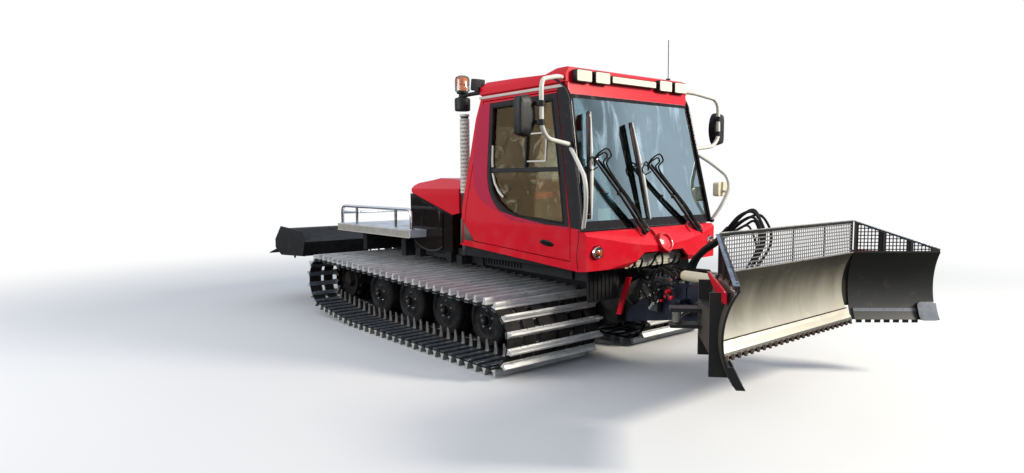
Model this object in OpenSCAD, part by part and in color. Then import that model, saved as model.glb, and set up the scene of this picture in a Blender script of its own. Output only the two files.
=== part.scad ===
// Compact snow groomer: cab forward, hood and cargo bed behind it, a six-way
// blade in front and a raised tiller at the rear, on two wide bar tracks.
// X points forward, Y to the machine's left, Z up. The ground is z = 0.

/* [Tracks] */
// Half width over the outer ends of the track bars
track_outer = 1440; // [1380:10:1500]
// Length of a cross bar
bar_len = 1100; // [1040:10:1130]
// Height of a cross bar above its belt
bar_h = 62; // [45:1:75]
// Width of a cross bar along the track
bar_w = 44; // [30:1:60]
// Spacing of the cross bars along the belt
bar_pitch = 130; // [115:5:160]
// Thickness of the rubber belts
belt_t = 18; // [12:1:24]
// Height of a guide tooth above the belt
tooth_h = 118; // [80:2:125]
// Radius of a road wheel
wheel_r = 266; // [255:1:269]
// Width of a road wheel's tyre
wheel_w = 250; // [180:10:270]
// Radius of the front idler wheel
idler_r = 260; // [240:5:275]
// Radius of the drive sprocket's drum
sprocket_r = 270; // [250:5:280]
// Height of the sprocket's underside above the lower run
sprocket_rise = 80; // [60:5:100]
// Place of the front idler's axle along the machine
idler_x = 1390; // [1360:5:1410]
// Place of the first road wheel's axle
wheel_x = 820; // [800:5:830]
// Spacing of the road wheels
wheel_step = 700; // [690:5:710]
// Place of the sprocket's axle
sprocket_x = -2090; // [-2120:5:-2060]

/* [Chassis] */
// Half width of the tub between the tracks
tub_half = 300; // [270:5:320]
// Height of the tub's floor
tub_z0 = 300; // [270:5:340]
// Height of the tub's deck
tub_z1 = 820; // [780:5:840]
// Plate thickness of the tub and the brackets
plate = 14; // [10:1:20]
// Radius of a wheel's axle
axle_r = 45; // [35:1:55]

/* [Cab] */
// Half width of the cab below its windows
cab_half = 900; // [860:5:920]
// Half width of the cab at its roof
roof_half = 825; // [800:5:850]
// Height of the cab's underside at the back
cab_z0 = 1030; // [1000:5:1060]
// Height of the nose's underside
nose_z0 = 915; // [900:5:940]
// Height of the windscreen's lower edge
belt_z = 1262; // [1240:2:1290]
// Height of the windscreen's upper edge
screen_z1 = 2420; // [2380:5:2450]
// Height of the roof's top
roof_z = 2655; // [2620:5:2690]
// Place of the windscreen's lower edge
screen_x0 = 1997; // [1970:5:2020]
// Place of the windscreen's upper edge
screen_x1 = 1755; // [1735:5:1775]
// Place of the cab's rear wall at its foot
cab_x0 = 240; // [220:5:260]
// Place of the cab's rear wall under the roof
cab_x1 = 530; // [510:5:550]
// Thickness of the cab's walls and doors
wall = 42; // [34:1:50]
// Thickness of the glass
glass_t = 6; // [4:1:8]
// Gap round a door
door_gap = 8; // [5:1:12]

/* [Hood and bed] */
// Half width of the engine hood
hood_half = 790; // [740:5:820]
// Place of the hood's rear face
hood_x0 = -870; // [-900:5:-840]
// Place of the hood's front face
hood_x1 = -60; // [-90:5:-20]
// Height of the hood's top
hood_z = 1700; // [1660:5:1740]
// Half width of the cargo bed
bed_half = 1020; // [980:5:1060]
// Place of the bed's rear edge
bed_x0 = -2370; // [-2400:5:-2330]
// Place of the front ends of the side decks beside the hood
bed_x1 = -556; // [-600:2:-520]
// Height of the bed's deck
bed_z = 1137; // [1120:1:1155]
// Thickness of the bed's deck
bed_t = 85; // [60:5:95]
// Height of the bed's rail above the deck
rail_h = 228; // [200:4:300]
// Radius of the rail's tube
rail_r = 17; // [13:1:21]

/* [Blade] */
// Place of the blade's hinge line
blade_x = 3369; // [3340:5:3400]
// Half length of the blade's middle
blade_half = 980; // [940:5:1020]
// Length of a wing
wing_len = 720; // [660:10:760]
// Height of the raised blade's cutting edge
blade_z0 = 482; // [470:2:500]
// Height of the moldboard's upper edge
blade_z1 = 1056; // [1040:2:1080]
// Height of the mesh screen's top
screen_z = 1328; // [1300:2:1350]
// Depth of the moldboard's curve
blade_sag = 90; // [70:2:110]
// Thickness of the moldboard
blade_t = 14; // [10:1:18]
// Height of the cutting strips
strip_h = 92; // [70:2:110]
// Number of teeth under the middle's cutting strip
edge_teeth = 24; // [16:1:30]
// Forward swing of the wings as parked
wing_swing = 42; // [36:1:46]
// Height of the push frame's pivot
pivot_z = 470; // [450:5:490]
// Place of the push frame's pivot
pivot_x = 1960; // [1950:5:1980]
// Half width of the push frame
push_half = 262; // [240:2:280]

/* [Tiller] */
// Half width of the tiller
tiller_half = 1400; // [1340:10:1430]
// Distance of the tiller's shaft behind the sprocket's axle
tiller_reach = 970; // [950:5:990]
// Height of the raised tiller's shaft
tiller_z = 815; // [800:5:840]
// Radius over the tiller's tines
tine_r = 175; // [150:5:190]
// Radius of the tiller's hood
hood_r = 240; // [230:5:260]

/* [Hidden] */
// Facets of a full circle
$fn = 48;
// Clearance of a pin in its bore
pin_fit = 0.08;
// Clearance of the wheels under their belts
fit = 0.5;
// Clearance between pieces that move past each other
clear = 6;
// Height of the lower run's inner face
run_z = bar_h + belt_t;
track_mid = track_outer - bar_len / 2;
// Depth of a wheel's disc inside its tyre, and reach and radius of its hub
disc_in = 40;
hub_out = 48;
hub_r = 62;
track_in = track_outer - bar_len;
tooth_t = 28;
tooth_w = 60;
tooth_y = track_mid + wheel_w / 2 + hub_out + 3 * clear;
wheel_facets = 16;
sprocket_teeth = 13;
idler_z = run_z + idler_r;
wheel_z = run_z + wheel_r;
sprocket_z = run_z + sprocket_r + sprocket_rise;
wheel_count = 4;
pin_r = 20;
pivot_r = 25;
eye_r = 34;
eye_half = 34;
lug_t = 14;
hood_foot = 910;
// Cross bearers on the tub: place along the machine, half width, height of the top
BEARERS = [[cab_x0 + 120, cab_half - 160, nose_z0], [screen_x0 - 330, cab_half - 160, nose_z0],
    [130, 840, nose_z0 - 15], [hood_x1 - 80, hood_half, hood_foot],
    [hood_x0 + 100, hood_half, hood_foot], [hood_x0 - 120, bed_half - 170, bed_z - bed_t],
    [bed_x0 + 420, bed_half - 170, bed_z - bed_t]];
last_x = wheel_x - (wheel_count - 1) * wheel_step;
// Axles of one side: x, z, radius of what turns on it
AXLES = concat([[idler_x, idler_z, idler_r]],
    [for (i = [0 : wheel_count - 1]) [wheel_x - i * wheel_step, wheel_z, wheel_r]]);

// The track's path runs forward along the ground, round the idler, back along
// the top, round the sprocket and down to the last road wheel.
top_d = norm([idler_x - sprocket_x, idler_z - sprocket_z]);
top_a = atan2(idler_z - sprocket_z, idler_x - sprocket_x)
    + acos((sprocket_r - idler_r) / top_d);
rear_d = norm([last_x - sprocket_x, wheel_z - sprocket_z]);
rear_a = atan2(wheel_z - sprocket_z, last_x - sprocket_x)
    - acos((sprocket_r - wheel_r) / rear_d);
arc_len = PI / 180;
len_low = idler_x - last_x;
len_idler = idler_r * (top_a + 90) * arc_len;
len_top = sqrt(top_d * top_d - pow(sprocket_r - idler_r, 2));
len_sprocket = sprocket_r * (360 + rear_a - top_a) * arc_len;
len_rear = sqrt(rear_d * rear_d - pow(sprocket_r - wheel_r, 2));
len_wheel = wheel_r * (-90 - rear_a) * arc_len;
s1 = len_low;
s2 = s1 + len_idler;
s3 = s2 + len_top;
s4 = s3 + len_sprocket;
s5 = s4 + len_rear;
loop_len = s5 + len_wheel;
bar_count = round(loop_len / bar_pitch);
bar_step = loop_len / bar_count;

// Angle of the path's outward normal at the length s
function path_angle(s) =
    s < s1 ? -90
    : s < s2 ? -90 + (s - s1) / idler_r / arc_len
    : s < s3 ? top_a
    : s < s4 ? top_a + (s - s3) / sprocket_r / arc_len
    : s < s5 ? 360 + rear_a
    : 360 + rear_a + (s - s5) / wheel_r / arc_len;
function polar(r, a) = [r * cos(a), r * sin(a)];
// Point of the path at the length s, moved out by off
function path_point(s, off = 0) =
    let (a = path_angle(s))
    s < s1 ? [last_x + s, run_z] + polar(off, a)
    : s < s2 ? [idler_x, idler_z] + polar(idler_r + off, a)
    : s < s3 ? [idler_x, idler_z] + polar(idler_r + off, a) + polar(s - s2, a + 90)
    : s < s4 ? [sprocket_x, sprocket_z] + polar(sprocket_r + off, a)
    : s < s5 ? [sprocket_x, sprocket_z] + polar(sprocket_r + off, a) + polar(s - s4, a + 90)
    : [last_x, wheel_z] + polar(wheel_r + off, a);
// Turn of the belt between bar i and the next one
function belt_turn(i) =
    path_angle((i + 1) % bar_count * bar_step) + (i == bar_count - 1 ? 360 : 0)
    - path_angle(i * bar_step);
// Corner of the belt between bar i and the next one, where their tangents meet
function belt_corner(i, off) =
    let (a = path_angle(i * bar_step),
        p = path_point(i * bar_step, off),
        q = path_point((i + 1) % bar_count * bar_step, off))
    p + polar((q - p) * polar(1, a + belt_turn(i)) / sin(belt_turn(i)), a + 90);

// Turn a drawing in X and Z into a plate from y0 to y1
module slab(y0, y1) {
    translate([0, y1, 0])
        rotate([90, 0, 0])
            linear_extrude(y1 - y0)
                children();
}
module both_sides() {
    children();
    mirror([0, 1, 0])
        children();
}
module box(lo, hi) {
    translate(lo)
        cube(hi - lo);
}
// Rod between two points
module rod(a, b, r) {
    d = b - a;
    translate(a)
        rotate([0, acos(d.z / norm(d)), atan2(d.y, d.x)])
            cylinder(r = r, h = norm(d));
}
// Eight-sided tube along a list of points; each stretch runs a little past its bends
module bent_tube(points, r) {
    last = len(points) - 1;
    for (i = [0 : last - 1]) {
        u = (points[i + 1] - points[i]) / norm(points[i + 1] - points[i]);
        rod(points[i] - u * (i > 0 ? r * 0.4 : 0), points[i + 1] + u * (i < last - 1 ? r * 0.4 : 0), r,
            $fn = 8);
    }
}
module pin_y(x, y0, y1, z, r) {
    translate([x, y0, z])
        rotate([-90, 0, 0])
            cylinder(r = r, h = y1 - y0);
}

// Running gear

module belt_outline(off) {
    polygon([for (i = [0 : bar_count - 1]) if (belt_turn(i) > 0.01) belt_corner(i, off)]);
}
module track() {
    color("#5a5c5e") {
        slab(track_in, track_outer)
            difference() {
                belt_outline(belt_t);
                belt_outline(0);
            }
        for (i = [0 : bar_count - 1]) {
            s = i * bar_step;
            p = path_point(s, belt_t / 2);
            translate([p.x, track_in, p.y])
                rotate([0, 90 - path_angle(s), 0]) {
                    translate([-bar_w / 2, 0, 0])
                        cube([bar_w, bar_len, bar_h + belt_t / 2]);
                    translate([0, tooth_y - track_in, 0])
                        guide_tooth();
                }
        }
    }
}
// Guide tooth, a wedge that points in from its bar
module guide_tooth() {
    root = -belt_t / 4;
    slab(0, tooth_t)
        polygon([[-tooth_w / 2, root], [0, -belt_t / 2 - tooth_h], [tooth_w / 2, root]]);
}
module track_left() {
    track();
}
module track_right() {
    mirror([0, 1, 0])
        track();
}
// Plate of n flats from z0 to z1, a corner downwards
module facet_disc(r, n, z0, z1) {
    translate([0, 0, z0])
        linear_extrude(z1 - z0)
            polygon([for (i = [0 : n - 1]) polar(r, i * 360 / n)]);
}
// Wheel about Y: tyre with a disc near its outer face and a hub
module track_wheel(r) {
    half = wheel_w / 2;
    color("#1d1e20")
        rotate([-90, 0, 0]) {
            difference() {
                facet_disc(r - fit, wheel_facets, -half, half);
                facet_disc(r - 64, wheel_facets, half - disc_in, half + 1);
            }
            facet_disc(hub_r, 8, half - disc_in - 1, half + hub_out);
        }
}
module track_wheels() {
    both_sides()
        for (a = AXLES)
            translate([a.x, track_mid, a.y])
                track_wheel(a.z);
}
module drive_sprockets() {
    half = wheel_w / 2;
    color("#26282b")
        both_sides()
            translate([sprocket_x, track_mid, sprocket_z])
                rotate([-90, 0, 0]) {
                    translate([0, 0, -half])
                        linear_extrude(wheel_w)
                            polygon([for (i = [0 : sprocket_teeth * 2 - 1])
                                polar(i % 2 == 0 ? sprocket_r - fit : sprocket_r - 34,
                                    (i + 0.5) * 180 / sprocket_teeth)]);
                    facet_disc(120, 8, half - 1, half + hub_out);
                }
}
module wheel_arms() {
    color("#2b2d30")
        both_sides() {
            for (a = AXLES)
                pin_y(a.x, tub_half, track_mid - wheel_w / 2, a.y, axle_r);
            pin_y(sprocket_x, tub_half, track_mid - wheel_w / 2, sprocket_z, axle_r * 2);
        }
}
// Pair of lug plates either side of an eye that turns on a pin along Y
module lug_pair(y, x, z, root) {
    for (k = [-1, 1])
        slab(y + k * (eye_half + clear) - (k < 0 ? lug_t : 0),
            y + k * (eye_half + clear) + (k > 0 ? lug_t : 0))
            difference() {
                lug_outline(x, z, root);
                translate([x, z])
                    circle(r = pin_r - 1);
            }
    pin_y(x, y - eye_half - clear - lug_t, y + eye_half + clear + lug_t, z, pin_r);
}
module lug_outline(x, z, root) {
    polygon([root[0], [x - 36, z - 26], [x - 36, z + 26], [x - 20, z + 38], [x + 20, z + 38],
        [x + 36, z + 26], [x + 36, z - 26], root[1]]);
}
module chassis_tub() {
    front = pivot_x - 110;
    rear = sprocket_x - 120;
    color("#17181a") {
        slab(-tub_half, tub_half)
            polygon([[rear, sprocket_z - 60], [sprocket_x + 160, tub_z0],
                [front - 260, tub_z0], [front, tub_z0 + 90], [front, tub_z1], [rear, tub_z1]]);
        for (b = BEARERS)
            box([b[0] - 50, -b[1], tub_z1 - 10], [b[0] + 50, b[1], b[2]]);
        // lugs of the push frame
        for (k = [-1, 1])
            slab(min(k * 172, k * 202), max(k * 172, k * 202))
                difference() {
                    polygon([[front, pivot_z - 90], [pivot_x, pivot_z - 60],
                        [pivot_x + 45, pivot_z], [pivot_x, pivot_z + 60], [front, pivot_z + 150]]);
                    translate([pivot_x, pivot_z])
                        circle(r = pivot_r + pin_fit);
                }
        for (y = [-lift_y, lift_y])
            lug_pair_front(y);
        // lugs of the rear lift frame
        for (k = [-1, 1])
            slab(min(k * 190, k * 220), max(k * 190, k * 220))
                difference() {
                    polygon([[rear, rear_z - 80], [rear_x, rear_z - 50], [rear_x - 45, rear_z],
                        [rear_x, rear_z + 50], [rear, rear_z + 110]]);
                    translate([rear_x, rear_z])
                        circle(r = pivot_r + pin_fit);
                }
        for (y = [-tiller_cyl_y, tiller_cyl_y])
            lug_pair(y, tiller_pin.x, tiller_pin.y,
                [[rear + 60, tub_z1 - 20], [rear + 170, tub_z1 - 20]]);
    }
}
module lug_pair_front(y) {
    front = pivot_x - 110;
    for (k = [-1, 1])
        slab(y + k * (eye_half + clear) - (k < 0 ? lug_t : 0),
            y + k * (eye_half + clear) + (k > 0 ? lug_t : 0))
            polygon([[front, lift_z0 - 110], [lift_x0 + 10, lift_z0 - 38], [lift_x0 + 36, lift_z0 - 20],
                [lift_x0 + 36, lift_z0 + 20], [lift_x0 + 10, lift_z0 + 38], [front, tub_z1]]);
    pin_y(lift_x0, y - eye_half - clear, y + eye_half + clear, lift_z0, pin_r);
}

// Cab

// Side outline of the cab shell
cab_side = [[cab_x0, cab_z0], [screen_x0 - 47, nose_z0], [screen_x0 - glass_t, belt_z],
    [screen_x1 - glass_t, screen_z1], [screen_x1 - 20, roof_z - 60], [cab_x1 + 60, roof_z - 40],
    [cab_x1, roof_z - 120], [cab_x1 - 90, roof_z - 360], [cab_x0 + 40, 1480]];
// Points of the door's outline
seam_x = screen_x0 - 45;
door_top = screen_z1 + 40;
frame_top = door_top + 60;
door_x0 = cab_x0 + 62;
function rear_edge(z) = z < 1480 ? cab_x0 + 40 * (z - cab_z0) / (1480 - cab_z0)
    : cab_x0 + 40 + (cab_x1 - 90 - cab_x0 - 40) * (z - 1480) / (roof_z - 360 - 1480);
function screen_edge(z) = screen_x0 + (screen_x1 - screen_x0) * (z - belt_z) / (screen_z1 - belt_z);
pillar_w = 95;
module door_outline(gap = 0) {
    polygon([[rear_edge(cab_z0) + 62 + gap, cab_z0 + 55 + gap],
        [seam_x - pillar_w - gap, nose_z0 + 75 + gap],
        [seam_x - pillar_w - gap, belt_z - 20],
        [screen_edge(belt_z) - pillar_w - gap - 40, belt_z],
        [screen_edge(door_top) - pillar_w - gap - 40, door_top - gap],
        [rear_edge(roof_z - 360) + 62 + 50 + gap, door_top - gap],
        [rear_edge(1480) + 62 + gap, 1480]]);
}
module window_outline(grow = 0) {
    x0 = cab_x0 + 475 - grow;
    polygon(concat([[x0, door_top - 70 + grow], [x0, 1760]],
        [for (a = [0 : 15 : 75]) [x0 + 560 * (1 - cos(a)), 1760 - (420 + grow) * sin(a)]],
        [[screen_edge(1300) - pillar_w - 120 + grow, 1315 - grow],
            [screen_edge(door_top) - pillar_w - 95 + grow, door_top - 70 + grow]]));
}
// Lean of the side above the belt line
side_lean = atan((cab_half - roof_half) / (screen_z1 - belt_z));
side_top = cab_half - (frame_top - belt_z) * tan(side_lean);
// A side panel from its outline: upright below the belt, leaning in above it
module side_panel(t, inset = 0) {
    out = cab_half - inset;
    intersection() {
        rotate([90, 0, 90])
            linear_extrude(3000)
                polygon([[out - t, 0], [out, 0], [out, belt_z], [side_top - inset, frame_top],
                    [side_top - inset - t, frame_top], [out - t, belt_z]]);
        slab(0, cab_half + 100)
            children();
    }
}
// Front view of the cab, drawn in Y and Z and run along X
module cab_section(inset, x0, x1) {
    low = cab_half - inset;
    high = side_top - inset;
    translate([x0, 0, 0])
        rotate([90, 0, 90])
            linear_extrude(x1 - x0)
                polygon([[-low, 0], [low, 0], [low, belt_z], [high, frame_top], [-high, frame_top],
                    [-low, belt_z]]);
}
floor_z = cab_z0 + 10;
module cab_floor() {
    color("#1b1c1e")
        slab(-cab_half + wall + clear, cab_half - wall - clear)
            polygon([[cab_x0 + wall, nose_z0], [seam_x, nose_z0], [seam_x, floor_z],
                [rear_edge(floor_z) + wall, floor_z], [cab_x0 + wall, cab_z0]]);
}
module cab_frame() {
    color("#c01818") {
        both_sides()
            side_panel(wall)
                difference() {
                    intersection() {
                        polygon(cab_side);
                        square([3000, frame_top]);
                    }
                    translate([seam_x, 0])
                        square([400, belt_z]);
                    door_outline();
                }
        // rear wall with its window
        intersection() {
            cab_section(wall / 2, cab_x0 - 100, cab_x1 + 100);
            difference() {
                slab(-cab_half, cab_half)
                    polygon([[cab_x0, cab_z0], [cab_x0 + wall, cab_z0], [cab_x0 + 40 + wall, 1480],
                        [cab_x1 - 90 + wall, roof_z - 360], [rear_edge_top + wall, frame_top],
                        [rear_edge_top, frame_top], [cab_x1 - 90, roof_z - 360],
                        [cab_x0 + 40, 1480]]);
                box([cab_x0 - 50, -rear_window, 1560], [cab_x1 + 100, rear_window, 2240]);
            }
        }
        // beam over the windscreen
        intersection() {
            cab_section(wall / 2, screen_x1 - 200, screen_x1 + 100);
            slab(-cab_half, cab_half)
                polygon([[screen_edge(screen_z1) - 90, screen_z1],
                    [screen_edge(screen_z1) - glass_t, screen_z1], [screen_x1 - 10, frame_top],
                    [screen_x1 - 100, frame_top]]);
        }
    }
}
rear_window = 690;
rear_edge_top = cab_x1 - 90 + (frame_top - roof_z + 360) * 0.375;
roof_front = screen_x1 - 20;
module cab_roof() {
    half = roof_half + 15;
    color("#c01818")
        intersection() {
            slab(-half, half)
                polygon([[cab_x1 - 10, frame_top], [roof_front, frame_top], [roof_front, roof_z - 12],
                    [roof_front - 22, roof_z], [roof_front - 150, roof_z], [roof_front - 280, roof_z - 44],
                    [cab_x1 + 480, roof_z - 24], [cab_x1 + 60, roof_z - 14], [cab_x1 - 10, roof_z - 66]]);
            translate([cab_x1 - 50, 0, 0])
                rotate([90, 0, 90])
                    linear_extrude(roof_front - cab_x1 + 100)
                        polygon([[-half, frame_top - 10], [half, frame_top - 10], [half, roof_z - 70],
                            [half - 45, roof_z + 5], [45 - half, roof_z + 5], [-half, roof_z - 70]]);
        }
}
nose_x = 2150;
nose_r = 3922;
cowl_top = belt_z - 12;
headlight = [cab_half - 105, nose_z0 + 165, 62];
boss = [nose_x - 8, nose_z0 + 205, 95];
scoop_r = 88;
// Wiper pivots across the cab, and the lean of the cowl's face under them
WIPER_Y = [-150, 560];
scoop_lean = 48;
// What lies round an axis that leans up by a from forward, drawn along Z
module facing(x, y, z, a) {
    translate([x, y, z])
        rotate([0, 90 - a, 0])
            children();
}
module front_cowl() {
    color("#d01c1c") {
        difference() {
            intersection() {
                slab(-cab_half, cab_half)
                    polygon([[seam_x, nose_z0], [nose_x - 60, nose_z0 + 15], [nose_x, nose_z0 + 90],
                        [nose_x, nose_z0 + 190], [nose_x - 50, nose_z0 + 260],
                        [screen_x0 + 20, cowl_top], [seam_x, cowl_top]]);
                translate([nose_x - nose_r, 0, nose_z0 - 10])
                    cylinder(r = nose_r, h = 500, $fn = 360);
            }
            intersection() {
                slab(-cab_half + wall, cab_half - wall)
                    polygon([[seam_x - 10, nose_z0 + 30], [nose_x, nose_z0 + 40],
                        [nose_x, nose_z0 + 180], [nose_x - 70, nose_z0 + 220],
                        [screen_x0, cowl_top - 40], [seam_x - 10, cowl_top - 40]]);
                translate([nose_x - nose_r, 0, nose_z0 - 10])
                    cylinder(r = nose_r - 40, h = 500, $fn = 360);
            }
            both_sides()
                translate([screen_x0 - 20, headlight[0], headlight[1]])
                    rotate([0, 90, 0])
                        cylinder(r = headlight[2], h = 300);
            // lower opening of the nose
            translate([seam_x + 60, 0, 0])
                rotate([90, 0, 90])
                    linear_extrude(300)
                        polygon([[-480, nose_z0 - 20], [480, nose_z0 - 20], [270, boss[1] - 70],
                            [-270, boss[1] - 70]]);
            for (y = WIPER_Y)
                facing(nose_x - 85, y, cowl_top - 42, scoop_lean)
                    translate([0, 0, -12])
                        cylinder(r = scoop_r, h = 60);
        }
        facing(boss[0], 0, boss[1], 22)
            translate([0, 0, -34])
                cylinder(r = boss[2], h = 46);
    }
}
module cab_glass() {
    color("#9fb6c0", 0.4) {
        // windscreen
        intersection() {
            cab_section(0, screen_x1 - 200, screen_x0 + 100);
            slab(-cab_half, cab_half)
                polygon([[screen_edge(belt_z) - glass_t, belt_z], [screen_edge(belt_z), belt_z],
                    [screen_edge(screen_z1), screen_z1], [screen_edge(screen_z1) - glass_t, screen_z1]]);
        }
        // rear window
        slab(-rear_window, rear_window)
            polygon([[rear_edge(1560) + 18, 1560], [rear_edge(1560) + 18 + glass_t, 1560],
                [rear_edge(2240) + 18 + glass_t, 2240], [rear_edge(2240) + 18, 2240]]);
    }
}
module door() {
    color("#c01818")
        side_panel(wall)
            difference() {
                door_outline(door_gap);
                window_outline();
            }
}
module door_glass() {
    color("#8fa5ad", 0.4)
        side_panel(glass_t, (wall - glass_t) / 2)
            window_outline();
}
module door_left() {
    door();
}
module door_right() {
    mirror([0, 1, 0])
        door();
}
module door_glass_left() {
    door_glass();
}
module door_glass_right() {
    mirror([0, 1, 0])
        door_glass();
}
module seats() {
    color("#202124") {
        box([seat_x + 40, seat_y - 200, floor_z], [seat_x + 400, seat_y + 200, floor_z + 240]);
        box([seat_x, seat_y - 240, floor_z + 240], [seat_x + 460, seat_y + 240, floor_z + 400]);
        translate([seat_x + 40, seat_y - 235, floor_z + 380])
            rotate([0, -8, 0])
                cube([110, 470, 740]);
    }
}
seat_x = cab_x0 + 600;
seat_y = 275;
module dash_console() {
    color("#26282b")
        slab(-cab_half + 130, cab_half - 130)
            polygon([[seam_x - 292, floor_z], [seam_x - 20, floor_z], [seam_x - 10, belt_z - 60],
                [screen_x0 - 130, belt_z + 20], [seam_x - 272, belt_z - 20]]);
}
// The closed shape of the cab, which what stands on it doesn't enter
module cab_body() {
    intersection() {
        cab_section(0, cab_x0 - 100, nose_x);
        slab(-cab_half, cab_half)
            polygon([[cab_x0, cab_z0], [screen_x0, nose_z0], [screen_x0, belt_z],
                [screen_x1, screen_z1], [roof_front, frame_top], [cab_x1 - 20, frame_top],
                [cab_x1 - 90, roof_z - 360], [cab_x0 + 40, 1480]]);
    }
}
module wipers() {
    foot = belt_z + 28;
    tip = belt_z + 738;
    color("#101112")
        difference() {
            for (y = WIPER_Y) {
                rod([screen_edge(foot) + 22, y, foot], [screen_edge(tip) + 22, y - 420, tip], 9);
                rod([screen_edge(foot), y, foot], [screen_edge(foot) + 30, y, foot], 14);
            }
            cab_body();
        }
}
module mirrors() {
    arm_z = frame_top + 50;
    head_y = cab_half + 410;
    tube_y = head_y - 105;
    color("#c9ccd0")
        both_sides()
            difference() {
                union() {
                    bent_tube([[screen_x1 - 120, roof_half, arm_z],
                        [screen_x1 + 10, tube_y - 15, arm_z - 40],
                        [screen_x1 + 32, tube_y + 10, 2120],
                        [screen_edge(1990) - 50, cab_half - 65, 1990]], 14);
                    bent_tube([[screen_edge(1960) - 50, cab_half - 60, 1960],
                        [screen_edge(1800) + 110, cab_half + 60, 1800],
                        [screen_edge(1700) + 120, cab_half + 60, 1600],
                        [screen_x0 + 20, cab_half - 15, belt_z + 10]], 12);
                }
                cab_body();
                cab_roof();
            }
    color("#141516")
        both_sides()
            translate([screen_x1 + 10, head_y, 2205])
                cube([90, 170, 320], center = true);
}
module lamps() {
    color("#e8e6dc") {
        both_sides()
            for (y = [440, 670])
                box([roof_front, y - 98, frame_top], [roof_front + 50, y + 98, frame_top + 110]);
        box([roof_front, -310, frame_top + 20], [roof_front + 40, 310, frame_top + 90]);
        both_sides()
            translate([screen_x0 - 20, headlight[0], headlight[1]])
                rotate([0, 90, 0])
                    cylinder(r = headlight[2], h = 90);
    }
}
module aerial() {
    color("#18191a") {
        translate([1640, 670, roof_z])
            cylinder(r = 22, h = 30);
        translate([1640, 670, roof_z + 30])
            cylinder(r = 4, h = 378);
    }
}
post_x = 140;
post_y = 120 - cab_half;
module beacon_post() {
    color("#202225") {
        box([post_x - 20, post_y - 20, frame_top + 20], [cab_x1 - 10, post_y + 20, frame_top + 50]);
        translate([post_x, post_y, frame_top - 120])
            cylinder(r = 80, h = 140);
        translate([post_x, post_y, frame_top + 50])
            cylinder(r = 60, h = 30);
    }
    color("#e06018")
        translate([post_x, post_y, frame_top + 80])
            cylinder(r = 55, h = 160);
}
module exhaust_stack() {
    color("#b9bcc0") {
        translate([post_x + 20, post_y + 10, nose_z0 - 15])
            cylinder(r = 40, h = 700);
        translate([post_x + 20, post_y + 10, 1560])
            cylinder(r = 58, h = 800);
    }
}

// Hood, engine and bed

module engine_block() {
    color("#3a3d40")
        box([hood_x0 + 30, -420, hood_foot], [hood_x1 - 20, 420, hood_z - 400]);
}
hood_shoulder_rear = 1545;
hood_shoulder_front = 1310;
hood_skin = 20;
module hood_sides() {
    color("#101113")
        difference() {
            slab(-hood_half, hood_half)
                polygon([[hood_x0, hood_foot], [hood_x1, hood_foot], [hood_x1, hood_shoulder_front],
                    [hood_x0, hood_shoulder_rear]]);
            box([hood_x0 + hood_skin, -hood_half + hood_skin, hood_foot - 10],
                [hood_x1 - hood_skin, hood_half - hood_skin, 2000]);
        }
}
// Front view of the hood lid: upright sides, a chamfer and a flat crest
module lid_section(inset, x0, x1) {
    half = hood_half - inset;
    crest = hood_z + 14 - inset;
    shoulder = hood_z - 105 - inset;
    translate([x0, 0, 0])
        rotate([90, 0, 90])
            linear_extrude(x1 - x0)
                polygon([[-half, 0], [half, 0], [half, shoulder], [half - 130, crest],
                    [130 - half, crest], [-half, shoulder]]);
}
module hood_lid() {
    seam = clear;
    rear = hood_x0 - 20;
    front = hood_x1 + 130;
    crest = hood_x0 + 400;
    color("#c01838")
        difference() {
            intersection() {
                lid_section(0, rear - 10, front + 10);
                slab(-hood_half, hood_half)
                    polygon([[rear, hood_shoulder_rear + seam], [hood_x1, hood_shoulder_front + seam],
                        [front, hood_shoulder_front + 30], [front, hood_z - 10], [crest, hood_z + 14],
                        [crest - 120, hood_z - 8], [rear + 60, hood_z - 40], [rear, hood_z - 70]]);
            }
            intersection() {
                lid_section(hood_skin, rear, front);
                slab(-hood_half, hood_half)
                    polygon([[rear + hood_skin, 1000], [front - hood_skin, 1000],
                        [front - hood_skin, hood_z - 12 - hood_skin], [crest, hood_z + 10 - hood_skin],
                        [crest - 120, hood_z - 12 - hood_skin],
                        [rear + hood_skin, hood_z - 70 - hood_skin]]);
            }
        }
}
module cargo_bed() {
    color("#9aa0a6") {
        box([bed_x0, -bed_half, bed_z - bed_t], [hood_x0 - 50, bed_half, bed_z]);
        both_sides()
            box([hood_x0 - 60, hood_half + 2 * clear, bed_z - bed_t], [bed_x1, bed_half, bed_z]);
    }
}
// Places of the posts under one side's rail
RAIL_POSTS = [bed_x0 + 470, hood_x0 - 60];
module bed_rail() {
    x0 = bed_x0 + 60;
    x1 = bed_x1 - 30;
    y = bed_half - 40;
    top = bed_z + rail_h;
    bend = 70;
    color("#c9ccd0") {
        both_sides() {
            bent_tube([[x0, y, bed_z], [x0, y, top - bend], [x0 + bend, y, top],
                [x1 - bend, y, top], [x1, y, top - bend], [x1, y, bed_z]], rail_r);
            for (x = RAIL_POSTS)
                rod([x, y, bed_z], [x, y, top], rail_r - 3, $fn = 8);
        }
        rod([x0, -y, top - bend - 20], [x0, y, top - bend - 20], rail_r - 3, $fn = 8);
    }
}

// Front linkage and blade

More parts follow.
